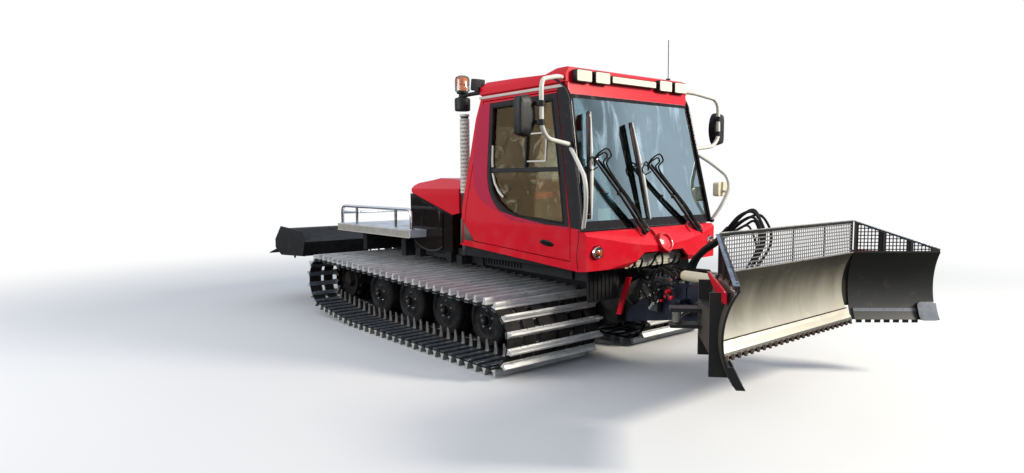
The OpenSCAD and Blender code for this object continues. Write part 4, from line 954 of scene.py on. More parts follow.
def wiperShapes(plan, arms, steel, blade, rails, lips, hoses):
    lift = Vector((0.055, 0, 0.012))
    base, joint = Vector(plan["base"]), Vector(plan["joint"]) + lift
    top, low = Vector(plan["top"]), Vector(plan["low"])
    along = (joint - base).normalized()
    side = along.cross(Vector((1, 0, 0.2))).normalized()
    for shift in (-0.026, 0.026):
        start, end = base + side * shift + Vector((0.02, 0, 0.02)), joint + side * shift * 0.6
        mid = start.lerp(end, 0.5) + Vector((0.012, 0, 0))
        arms.loft([(start, 0.014), (start.lerp(end, 0.12), 0.016), (mid, 0.012), (end, 0.01)], 12)
    arms.rod(base - Vector((0.03, 0, 0.02)), base + Vector((0.035, 0, 0.035)), 0.024, 20)
    arms.rod(base + side * 0.03 + Vector((0.02, 0, 0.02)), base - side * 0.03 + Vector((0.02, 0, 0.02)), 0.013, 14)
    for share in (0.0, 0.1, 0.55, 1.0):
        spot = (base + Vector((0.02, 0, 0.02))).lerp(joint, share)
        arms.rod(spot - side * 0.034, spot + side * 0.034, 0.011, 10)
    steel.rod(joint - Vector((0.05, 0, 0.01)), joint + Vector((0.012, 0, 0)), 0.01, 14)
    steel.tube([base + Vector((0.03, 0.02, 0.05)), base.lerp(joint, 0.3) + Vector((0.03, 0.012, 0.02)),
                base.lerp(joint, 0.55) + Vector((0.025, 0.0, 0.01))], 0.004, 8)
    # blade: a wide spoiler with a bright rail along its edge, claws and the rubber lip
    reach = top - low
    across = reach.normalized().cross(Vector((1, 0, 0))).normalized()
    if across.y > 0:
        across = -across
    rows = []
    for k in range(13):
        t = k / 12
        wide = 0.056 * math.sin(math.pi * min(1.0, 0.1 + t * 0.55))
        wide *= (0.75 if t < 0.08 else 1) * (0.45 if t > 0.96 else 1)
        spot = low + reach * t + Vector((0.026, 0, 0.004))
        rows.append([spot + across * wide * (0.25 + t * 0.75) + Vector((0.012, 0, 0)), spot, spot - across * 0.008,
                     spot - Vector((0.005, 0, 0)), spot + across * wide * (0.25 + t * 0.75) + Vector((0.008, 0, 0))])
    blade.skin(rows, loop=True)
    swell = [(i / 14, 0.008 * math.sin(math.pi * i / 14)) for i in range(15)]
    rails.loft([(low + reach * t + Vector((0.032 + more, 0, 0)) - across * 0.008,
                 (0.006 + more) * (1.2 if t < 0.55 else 1)) for t, more in swell], 12)
    for t in (0.04, 0.2, 0.35, 0.5, 0.65, 0.8, 0.96):
        spot = low + reach * t
        steel.rod(spot + Vector((0.004, 0, 0)), spot + Vector((0.034, 0, 0.002)), 0.007, 10)
    lips.run([(-0.01, 0.012), (0.01, 0.012), (0.008, 0.004), (0.002, 0.002), (0.001, -0.01), (-0.001, -0.01),
              (-0.002, 0.002), (-0.008, 0.004)], low, top, across, Vector((0.98, 0, 0.2)))
    # washer hoses: up the arm, with two loops beside the joint
    for size, shift in ((1.0, 0.0), (0.62, -0.02)):
        loop = [Vector((0.03, 0.1 * size, -0.04)), Vector((0.05, 0.135 * size, 0.03 * size)),
                Vector((0.06, 0.075 * size, 0.085 * size)), Vector((0.055, 0.0, 0.06 * size)),
                Vector((0.03, -0.045 * size, 0.005)), Vector((0.015, -0.03, -0.06))]
        rise = [base.lerp(joint, share) + Vector((0.035, y + shift, z))
                for share, y, z in ((0, -0.02, 0.05), (0.35, 0.03, 0.03), (0.7, 0.024, 0.015))]
        hoses.loft([(p, 0.0075) for p in flowing(rise + [joint + q for q in loop], 7)], 9)
    back = [joint + Vector(q) for q in ((0.0, -0.01, 0.0), (0.02, -0.075, 0.015), (0.015, -0.11, -0.045),
                                        (0.01, -0.07, -0.095), (0.02, 0.0, -0.07))]
    hoses.loft([(p, 0.0065) for p in flowing(back, 6)], 8)


wiperParts = wiperArms, wiperSteel, wiperBlades, wiperRails, wiperLips, wiperHoses = shapes(6)
for plan in wipers:
    wiperShapes(plan, *wiperParts)
wiperBlades.piece("wiperSpoilers", "maroon")
wiperRails.piece("wiperRails", "satin")
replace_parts(wiperArms.piece("wiperArms", "plastic", bevel=0.001), "wipers")
wiperSteel.piece("wiperSprings", "bright")
wiperLips.piece("wiperLips", "rubber")
wiperHoses.piece("washerHoses", "rubber")

print("stage: mirrors and lamps")


# Tubes, head, glass and clamps of the mirror on one side
def mirrorShapes(tubes, heads, faces, clamps, side):
    arm = [(1.68, 0.81, 2.56), (1.74, 0.93, 2.556), (1.835, 1.19, 2.5), (1.852, 1.222, 2.43),
           (1.858, 1.225, 2.11), (1.85, 1.15, 2.02), (screenX(1.99) - 0.035, 0.855, 1.985)]
    tubes.tube([(x, side * y, z) for x, y, z in arm], 0.019, 16, bend=0.09)
    low = [(screenX(1.96) - 0.035, 0.858, 1.955), (1.955, 0.93, 1.86), (2.12, 1.0, 1.715), (2.145, 1.005, 1.6),
           (2.09, 0.955, 1.42), (2.012, 0.905, 1.28)]
    tubes.tube([(x, side * y, z) for x, y, z in low], 0.017, 16, bend=0.1)
    for x, y, z in (low[0], low[-1], arm[-1], arm[0]):
        out = Vector((0.3, side * 0.95, 0))
        clamps.rod(Vector((x, side * y, z)) - out * 0.01, Vector((x, side * y, z)) + out * 0.018, 0.024, 20)
    for z in (2.3, 2.15):
        clamps.rod((1.856, side * 1.223, z - 0.024), (1.856, side * 1.223, z + 0.024), 0.027, 16)
        clamps.block((1.8, side * 1.245 - 0.02, z - 0.016), (1.856, side * 1.245 + 0.02, z + 0.016))
    # head: a D-shaped shell, its glass facing the rear
    rows = []
    outline = [(0.085 * math.cos(math.radians(a)), 0.168 * math.sin(math.radians(a))) for a in range(-90, 91, 15)]
    outline += [(-0.08, 0.15), (-0.09, 0.11), (-0.09, -0.11), (-0.08, -0.15)]
    for depth, size in ((-0.042, 0.97), (-0.04, 1.0), (0.012, 1.0), (0.03, 0.96), (0.04, 0.86), (0.044, 0.6)):
        rows.append([Vector((1.77 + depth, side * (1.322 - u * size), 2.205 + v * size)) for u, v in outline])
    heads.skin(rows, loop=True)
    heads.add(rows[-1], [tuple(range(len(rows[-1])))])
    faces.add([p + Vector((0.004, 0, 0)) for p in rows[0]], [tuple(range(len(rows[0])))])


tubes, heads, faces, clamps = shapes(4)
for side in (1, -1):
    mirrorShapes(tubes, heads, faces, clamps, side)
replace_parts(tubes.piece("mirrorTubes", "satin"), "mirrors")
heads.piece("mirrorHeads", "plastic", bevel=0.004)
faces.piece("mirrorGlass", "mirror", thick=0.003)
clamps.piece("mirrorClamps", "plastic", bevel=0.002)

# Small mirror on the low bar
small = Shape()
small.run(centredBox(0.07, 0.07, 0.025), (2.08, 0.985, 1.585), (2.03, 0.96, 1.585))
small.tube([(2.13, 1.0, 1.56), (2.1, 0.985, 1.56), (2.06, 0.975, 1.575)], 0.012, 10, bend=0.02)
small.piece("smallMirror", "cream", bevel=0.008, slot="black_plastic")


# Lamps and light bar under the roof's visor, with the lamps' places across, and the two headlamps
lampPlan = {"z": 2.576, "back": 1.742, "across": (-0.67, -0.44, 0.44, 0.67)}


def lampShapes(shells, lenses, rims, bulbs, covers):
    z, back = lampPlan["z"], lampPlan["back"]
    for y in lampPlan["across"]:
        shells.run(centredBox(0.096, 0.053, 0.016), (back, y, z), (back + 0.05, y, z))
        lenses.run(centredBox(0.088, 0.046, 0.012), (back + 0.046, y, z), (back + 0.055, y, z))
    shells.run(centredBox(0.31, 0.034, 0.012), (back, 0, z), (back + 0.038, 0, z))
    lenses.run(centredBox(0.302, 0.027, 0.01), (back + 0.035, 0, z), (back + 0.043, 0, z))
    for side in (1, -1):
        centre = (2.02, side * 0.795, 1.08)
        rims.lathe([(0.03, 0.032), (0.03, 0.053), (0.062, 0.053), (0.068, 0.049), (0.068, 0.043), (0.04, 0.032)],
                   centre, (1, 0, 0), 40, closed=True)
        bulbs.lathe([(0.045, 0.001), (0.045, 0.02), (0.066, 0.018), (0.074, 0.01), (0.076, 0.001)], centre,
                    (1, 0, 0), 24)
        covers.lathe([(0.052, 0.043), (0.064, 0.042), (0.074, 0.034), (0.081, 0.018), (0.083, 0.001)],
                     centre, (1, 0, 0), 40)


shells, lenses, rims, bulbs, covers = shapes(5)
lampShapes(shells, lenses, rims, bulbs, covers)
bulbs.piece("headlampBulbs", "amber")
covers.piece("headlampCovers", "glass")
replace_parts(lenses.piece("lampLenses", "lens"), "lamps")
shells.piece("lampShells", "plastic", bevel=0.003)
rims.piece("headlampRims", "chrome")

print("stage: beacon and exhaust")

up = (0, 0, 1)
# Work lamp drum and beacon on their arm
postX, postY = 0.14, -0.78
drum, amber, clear, arm = shapes(4)
drum.lathe([(0.0, 0.06), (0.0, 0.072), (0.01, 0.08), (0.11, 0.082), (0.13, 0.076), (0.142, 0.04),
            (0.17, 0.034), (0.178, 0.058), (0.196, 0.06), (0.2, 0.05)], (postX, postY, 2.402), up, 40)
clear.lathe([(0.0, 0.07), (0.006, 0.076), (0.12, 0.076), (0.145, 0.066), (0.158, 0.04), (0.16, 0.001)],
            (postX, postY, 2.603), up, 40)
amber.lathe([(0.0, 0.046), (0.055, 0.05), (0.06, 0.062), (0.11, 0.062), (0.13, 0.052), (0.138, 0.03),
             (0.14, 0.001)], (postX, postY, 2.61), up, 40)
arm.tube([(postX, postY, 2.555), (0.3, postY, 2.56), (0.525, postY + 0.02, 2.56)], 0.02, 14, bend=0.05)
arm.block((0.515, postY - 0.05, 2.53), (0.53, postY + 0.09, 2.592))
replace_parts(drum.piece("workLampDrum", "plastic", bevel=0.002), "beacon_post")
clear.piece("beaconCover", "glass")
amber.piece("beaconDome", "amber")
arm.piece("beaconArm", "plastic", bevel=0.002)

# Exhaust stack and its shield
stackX, stackY = 0.16, -0.77
stack, shield = shapes(2)
stack.lathe([(0.0, 0.04), (1.4, 0.04), (1.44, 0.042), (1.45, 0.036)], (stackX, stackY, 0.905), up, 28)


# Perforated heat shield: rows of round-cornered holes round the pipe
def shieldRows(shape, x, y, low, high, radius, around=20, step=0.04):
    z = low
    while z < high - step:
        for k in range(around):
            mid = 2 * math.pi * (k + 0.5 * (round((z - low) / step) % 2)) / around
            half = math.pi / around
            ring = [(mid + half * u, z + step * (0.5 + 0.5 * v)) for u, v in
                    ((-1, -1), (0, -1), (1, -1), (1, 0), (1, 1), (0, 1), (-1, 1), (-1, 0))]
            hole = [(mid + half * 0.52 * math.cos(a), z + step * 0.5 + step * 0.26 * math.sin(a))
                    for a in map(math.radians, (225, 270, 315, 0, 45, 90, 135, 180))]
            points = [(x + radius * math.cos(t), y + radius * math.sin(t), h) for t, h in ring + hole]
            shape.add(points, [(i, (i + 1) % 8, 8 + (i + 1) % 8, 8 + i) for i in range(8)])
        z += step


shieldRows(shield, stackX, stackY, 1.56, 2.345, 0.05)
for z in (1.555, 2.345):
    shield.lathe(rectangle(0.0, 0.0485, 0.022, 0.0505), (stackX, stackY, z), up, 40, closed=True)
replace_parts(stack.piece("exhaustPipe", "iron", slot="black_steel"), "exhaust_stack")
shield.piece("exhaustShield", "satin", thick=0.0015)
easedNode("aerial", bevel=0.0005)

print("stage: bed")


# Tube rail on three sides of the bed, with its posts and feet
def railShape(tubes):
    x0, x1, y, low, high = -2.31, -0.586, 0.98, 1.137, 1.365
    for side in (1, -1):
        tubes.tube([(x0, side * y, low), (x0, side * y, high), (x1, side * y, high), (x1, side * y, low)], 0.019, 16,
                   bend=0.085)
        for x in (-1.9, -0.93):
            tubes.tube([(x, side * y, low), (x, side * y, high)], 0.016, 14)
        tubes.tube([(x0 + 0.03, side * y, high - 0.075), (-1.905, side * y, high - 0.075)], 0.013, 14)
        for x in (x0, -1.9, -0.93, x1):
            tubes.lathe([(0, 0.034), (0.005, 0.034), (0.008, 0.03)], (x, side * y, low), (0, 0, 1), 20)
    tubes.tube([(x0, -y, high - 0.09), (x0, y, high - 0.09)], 0.016, 14)


rail = Shape()
railShape(rail)
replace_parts(rail.piece("bedRail", "chrome"), "bed_rail")

# Upright ribs along the bed's edges, between two rails, in a beige that paints warm sunlight on them
ribs = Shape()
for y in (1.024, -1.024):
    for k in range(60):
        x = -2.36 + 0.03 * k
        ribs.block((x, y - 0.004, 1.056), (x + 0.014, y + 0.003, 1.122))
    for z in (1.053, 1.132):
        ribs.block((-2.368, y - 0.005, z - 0.005), (-0.56, y + 0.006, z + 0.005))
ribs.piece("bedEdgeRibs", "bezel", bevel=0.0015, slot="bed_alloy")

print("stage: blade details")

bladePlan = {"face": 3.375, "low": 0.482, "high": 1.056, "sag": 0.09, "half": 0.966}


# X of the blade's hollow face, an arc between its top and foot
def bladeFaceX(z):
    sag, high = bladePlan["sag"], bladePlan["high"] - bladePlan["low"]
    r = (high * high / 4 + sag * sag) / (2 * sag)
    mid = (bladePlan["low"] + bladePlan["high"]) / 2
    return bladePlan["face"] - sag + r - math.sqrt(r * r - (z - mid) ** 2)


# The cutting edge: a strip over the face's foot, its front 13.5 mm proud of the face
def cuttingStrip(shape, y0, y1, low=0.4815, high=0.5735, steps=8):
    front = [(bladeFaceX(z) + 0.0135, z) for z in [low + (high - low) * k / steps for k in range(steps + 1)]]
    shape.slab(front + [(x - 0.01, z) for x, z in reversed(front)], y0, y1)


# Teeth along the strip's foot, each tapering down and 12 mm thick
def edgeTeeth(shape, y0, y1, count):
    step = (y1 - y0) / count
    for k in range(count):
        mid = y0 + step * (k + 0.5)
        foot = [Vector((bladeFaceX(low) + ahead, mid + step * share, z)) for low, ahead, share, z in
                ((0.486, 0.015, -0.3, 0.49), (0.486, 0.015, 0.3, 0.49),
                 (0.482, 0.024, 0.17, 0.452), (0.482, 0.024, -0.17, 0.452))]
        shape.prism(foot, [p - Vector((0.012, 0, 0)) for p in foot])


bladeHalf = bladePlan["half"]
strip, teeth, capStrip = shapes(3)
cuttingStrip(strip, -bladeHalf, bladeHalf)
edgeTeeth(teeth, -bladeHalf, bladeHalf, 24)
capStrip.run(rectangle(-0.02, 0.0, 0.004, 0.01), (3.373, -bladeHalf, 1.054), (3.373, bladeHalf, 1.054),
             (1, 0, 0))
strip.piece("cuttingEdge", "stripSteel", "blade", bevel=0.0015)
teeth.piece("edgeTeeth", "toothSteel", "blade", bevel=0.0015)
capStrip.piece("bladeTopStrip", "worn", "blade", bevel=0.002)

# Screen over the blade: woven flat wires, the level ones brighter and in front
screenFrame, uprights, levels = shapes(3)
for k in range(64):
    y = -0.955 + 0.0303 * k
    uprights.block((3.356, y - 0.0022, 1.066), (3.3595, y + 0.0022, 1.32))
for k in range(9):
    z = 1.079 + 0.0275 * k
    levels.block((3.3595, -0.962, z - 0.0042), (3.3635, 0.962, z + 0.0042))
screenFrame.block((3.352, -0.968, 1.306), (3.366, 0.968, 1.326))
for y in (-0.964, 0.956):
    screenFrame.block((3.35, y - 0.006, 1.056), (3.366, y + 0.01, 1.32))
for y in (-0.49, 0.0, 0.49):
    screenFrame.block((3.346, y - 0.006, 1.058), (3.355, y + 0.006, 1.31))
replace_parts(screenFrame.piece("screenFrame", "black", "blade", bevel=0.002), "blade_screen")
uprights.piece("screenUprights", "black", "blade")
levels.piece("screenLevels", "wire", "blade")
brightTop = Shape()
brightTop.run(roundedBox(-0.008, -0.003, 0.008, 0.005, 0.002), (3.359, -0.968, 1.328), (3.359, 0.968, 1.328),
              (1, 0, 0))
brightTop.piece("screenTopEdge", "worn", "blade")

print("stage: front details")

wingPlan = {"root": (3.369, 0.98), "swing": math.radians(42), "long": 0.72, "screen": 1.328}


# A point given on the straight left wing, swung to its rest place on either side
def onWing(x, y, z, side):
    bx, by = wingPlan["root"]
    c, s = math.cos(wingPlan["swing"]), math.sin(wingPlan["swing"])
    return Vector((bx + (x - bx) * c + (y - by) * s, side * (by - (x - bx) * s + (y - by) * c), z))


def swung(shape, side):
    shape.points = [tuple(onWing(x, y, z, side)) for x, y, z in shape.points]
    if side < 0:
        shape.faces = [tuple(reversed(face)) for face in shape.faces]
    return shape


# Height of the wing's screen, which slopes down outwards
def slopeZ(y):
    share = (y - wingPlan["root"][1]) / wingPlan["long"]
    return wingPlan["screen"] + (bladePlan["high"] + 0.03 - wingPlan["screen"]) * share


for name, side in sides:
    wing = "wing_" + name
    x = bladePlan["face"] - 0.013
    y0, y1 = wingPlan["root"][1], wingPlan["root"][1] + wingPlan["long"]
    mesh, posts, flange, wear, edge, seam = shapes(6)
    # crossed flat bars of the screen
    y = y0 + 0.03
    while y < y1 - 0.02:
        mesh.block((x - 0.003, y - 0.004, 1.056), (x + 0.001, y + 0.004, slopeZ(y) - 0.01))
        y += 0.03
    z = 1.082
    while z < 1.315:
        end = y0 + wingPlan["long"] * (slopeZ(y0) - 0.01 - z) / (slopeZ(y0) - slopeZ(y1))
        mesh.block((x - 0.001, y0 + 0.01, z - 0.004), (x + 0.003, min(end, y1 - 0.01), z + 0.004))
        z += 0.03
    swung(mesh, side).piece("wingMesh_" + name, "black", wing)
    for share in (0.33, 0.65, 0.93):
        y = y0 + wingPlan["long"] * share
        posts.block((x - 0.012, y - 0.022, 1.05), (x + 0.004, y + 0.022, slopeZ(y) - 0.004))
    posts.block((x - 0.012, y0 + 0.01, 1.05), (x + 0.004, y0 + 0.04, slopeZ(y0 + 0.03) - 0.004))
    swung(posts, side).piece("wingPosts_" + name, "black", wing, bevel=0.002)
    # flat bar along the sloping top
    slope = Vector((0, wingPlan["long"], slopeZ(y1) - slopeZ(y0))).normalized()
    across = Vector((0, -slope.z, slope.y))
    flange.run(rectangle(-0.03, -0.004, 0.008, 0.003), (x, y0 + 0.008, slopeZ(y0 + 0.008) - 0.003),
               (x, y1, slopeZ(y1) - 0.003), (1, 0, 0), across)
    swung(flange, side).piece("wingTopBar_" + name, "paleSteel", wing, bevel=0.0015)
    # wear block at the outer corner, round-cornered
    block = roundedBox(y1 - 0.165, 0.478, y1 - 0.004, 0.628, 0.035, 5)
    wear.prism(*[[(bladeFaceX(max(0.483, z)) + out, y, z) for y, z in block] for out in (0.03, 0.04)])
    swung(wear, side).piece("wearBlock_" + name, "blueSteel", wing, bevel=0.003, smooth=40)
    cuttingStrip(edge, y0 + 0.026, y1 - 0.16)
    swung(edge, side).piece("wingEdge_" + name, "blueSteel", wing, bevel=0.0015)
    # bent strip that closes the corner between blade and wing
    rows = []
    for k in range(17):
        z = 0.592 + (1.052 - 0.592) * k / 16
        back = bladeFaceX(z) - 0.02
        rows.append([Vector((back, side * 0.93, z)), Vector((back + 0.002, side * 0.985, z)),
                     onWing(back + 0.004, 1.0, z, side), onWing(back + 0.004, 1.04, z, side)])
    seam.skin(rows)
    flap = seam.piece("cornerStrip_" + name, "rubber", None, thick=0.004)
    # the rubber bends over the hinge; here it rides no body and is baked in place
    hinge = Vector((bladeFaceX(0.8) - 0.02, side * 0.985, 0.8))
    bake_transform(flap)

# Hoses in loops over the linkage: place across, how much higher and wider each goes, and its radius
hosePlan = {"loops": [(-0.04, 0.0, 0.0, 0.012), (-0.012, -0.045, -0.03, 0.011), (0.018, 0.01, -0.06, 0.012),
                      (0.045, -0.08, -0.09, 0.01), (-0.06, -0.11, -0.05, 0.009), (0.062, -0.03, -0.015, 0.01)],
            "sleeve": [(2.462, 0, 0.985), (2.56, 0, 1.082), (2.68, 0, 1.162), (2.795, 0, 1.275)]}
hoses, sleeve, ferrules = shapes(3)
for y, h, w, radius in hosePlan["loops"]:
    path = [(2.44, y, 0.8), (2.425, y, 0.905), (2.512, y * 0.8, 1.04), (2.68, y * 0.6, 1.158),
            (2.803, y * 0.7, 1.284 + h * 0.5), (2.914, y, 1.39 + h), (3.04 + w * 0.5, y * 1.2, 1.425 + h),
            (3.135 + w, y * 1.3, 1.3 + h), (3.13 + w, y * 1.2, 1.16 + h * 0.5),
            (3.03 + w * 0.5, y, 0.985), (2.94, y, 0.87), (2.92, y, 0.8)]
    curve = flowing(path, 7)
    hoses.loft([(p, radius) for p in curve], 10)
    for p, q in ((curve[0], curve[3]), (curve[-1], curve[-4])):
        ferrules.rod(p, p.lerp(q, 0.55), radius * 1.35, 6)
sleeve.loft([(p, 0.03) for p in flowing(hosePlan["sleeve"], 6)], 16)
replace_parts(hoses.piece("bladeHoses", "rubber", "push_frame"), "blade_hoses")
sleeve.piece("hoseSleeve", "sleeve", "push_frame")
ferrules.piece("hoseFerrules", "bright", "push_frame")

# Bars along the top of each wing's back
for name, side in sides:
    bar = Shape()
    outline = [(0.985, 1.045), (1.1, 1.026), (1.45, 0.972), (1.685, 0.976), (1.68, 1.048), (0.985, 1.074)]
    bar.prism(*[[(x, y, z) for y, z in outline] for x in (3.286, 3.302)])
    swung(bar, side).piece("wingBackBar_" + name, "red", "wing_" + name, bevel=0.003)

print("stage: linkage details")

# Pale cylinder along the top of the push frame, on two brackets
pale, brackets = shapes(2)
pale.lathe([(0.0, 0.02), (0.004, 0.036), (0.02, 0.043), (0.15, 0.045), (0.285, 0.043), (0.3, 0.036),
            (0.31, 0.018)], (2.528, -0.25, 0.888), (1, 0, -0.02), 32)
for x in (2.568, 2.78):
    brackets.block((x, -0.272, 0.69), (x + 0.012, -0.228, 0.874))
pale.piece("paleCylinder", "cream", "push_frame")
brackets.piece("cylinderBrackets", "navy", "push_frame", bevel=0.002)

# Pump, valve bank with its spools, fittings and short hoses on top of the push frame's rear
valve, spools, fittings, short, redBits = shapes(5)
valve.block((2.215, -0.27, 0.69), (2.42, -0.06, 0.845))
valve.block((2.215, 0.06, 0.69), (2.42, 0.27, 0.845))
valve.block((2.24, -0.33, 0.56), (2.33, -0.275, 0.8))
for k in range(6):
    y = -0.25 + 0.032 * k
    if abs(y + 0.15) > 0.05:
        spools.rod((2.212, y, 0.8), (2.426, y, 0.8), 0.013, 14)
    for x, top in ((2.25 + 0.02 * (k % 2), 0.88), (2.35 - 0.02 * (k % 2), 0.872)):
        fittings.rod((x, y, 0.842), (x, y, top), 0.012, 6)
for k in range(9):
    y = -0.3 - 0.012 * (k % 3)
    x, z = 2.25 + 0.028 * (k % 4), 0.585 + 0.024 * k
    fittings.rod((x, y + 0.03, z), (x, y - 0.02, z), 0.011, 6)
    fittings.rod((x, y - 0.02, z), (x, y - 0.034, z), 0.015, 6)
# Both ends of each short hose: six on the top, six on the side
hoseEnds = [((2.25, -0.25, 0.88), (2.19, -0.31, 0.84)), ((2.27, -0.218, 0.88), (2.19, -0.1, 0.84)),
            ((2.33, -0.186, 0.87), (2.49, -0.27, 0.86)), ((2.25, -0.154, 0.88), (2.19, -0.03, 0.84)),
            ((2.35, -0.122, 0.872), (2.5, -0.2, 0.85)), ((2.27, -0.09, 0.88), (2.2, 0.06, 0.84)),
            ((2.25, -0.334, 0.609), (2.18, -0.37, 0.74)), ((2.306, -0.346, 0.633), (2.19, -0.36, 0.79)),
            ((2.278, -0.334, 0.657), (2.46, -0.325, 0.72)), ((2.334, -0.346, 0.705), (2.49, -0.33, 0.79)),
            ((2.25, -0.334, 0.729), (2.18, -0.38, 0.66)), ((2.306, -0.346, 0.753), (2.48, -0.315, 0.85))]
for i, (a, b) in enumerate(hoseEnds):
    a, b = Vector(a), Vector(b)
    rise = 0.045 + 0.03 * (i % 3) if i > 5 else 0.018 + 0.01 * (i % 3)
    bow = Vector((0, -0.03 if i > 5 else 0.012 * (i % 3 - 1), rise))
    path = [a, a + Vector((0, 0, 0.02)) + bow * 0.6, a.lerp(b, 0.5) + bow * 1.4, b + bow * 0.3, b]
    short.loft([(p, 0.0095) for p in flowing(path, 6)], 9)
    fittings.rod(b, b + (a - b).normalized() * 0.02, 0.013, 6)
redBits.lathe([(0, 0.014), (0.004, 0.022), (0.034, 0.022), (0.038, 0.016), (0.056, 0.014)], (2.455, -0.318, 0.752),
              (0, -1, 0), 16)
redBits.lathe([(0, 0.014), (0.004, 0.02), (0.03, 0.02), (0.034, 0.014)], (2.48, -0.318, 0.7), (0, -1, 0), 16)
for x, z in ((2.3, 0.62), (2.36, 0.66), (2.29, 0.7), (2.4, 0.7)):
    redBits.rod((x, -0.3, z), (x, -0.322, z), 0.012, 10)
valve.piece("valveBlocks", "iron", "push_frame", bevel=0.004)
spools.piece("valveSpools", "chrome", "push_frame", slot="rod_chrome")
fittings.piece("hoseFittings", "bright", "push_frame")
short.piece("valveHoses", "rubber", "push_frame")
redBits.piece("redFittings", "red", "push_frame")

# Red upright bars on both sides of the tub's front
bars = Shape()
for side in (1, -1):
    y = side * 0.312
    bars.run(rectangle(-0.026, -0.012, 0.026, 0.012), (1.998, y, 0.82), (1.886, y, 0.47), (1, 0, 0), (0, 1, 0))
bars.piece("frontUprights", "red", bevel=0.004)

# Black strip above the cutting edge: painted shade along the top of the strip
seam = Shape()
x = bladeFaceX(0.576)
seam.run(rectangle(0.0, -0.0025, 0.0145, 0.0025), (x, -bladeHalf, 0.5765), (x, bladeHalf, 0.5765),
         (1, 0, 0))
seam.piece("edgeSeam", "black", "blade")

print("stage: cab trim")


# Points evenly spaced along an outline in X and Z
def spaced(points, count):
    points = [Vector((x, 0, z)) for x, z in points]
    spans = [(b - a).length for a, b in zip(points, points[1:])]
    total, out = sum(spans), []
    for k in range(count):
        left = total * k / (count - 1)
        for a, b, span in zip(points, points[1:], spans):
            if left <= span + 1e-9:
                spot = a.lerp(b, left / span)
                break
            left -= span
        out.append((spot.x, spot.z))
    return out


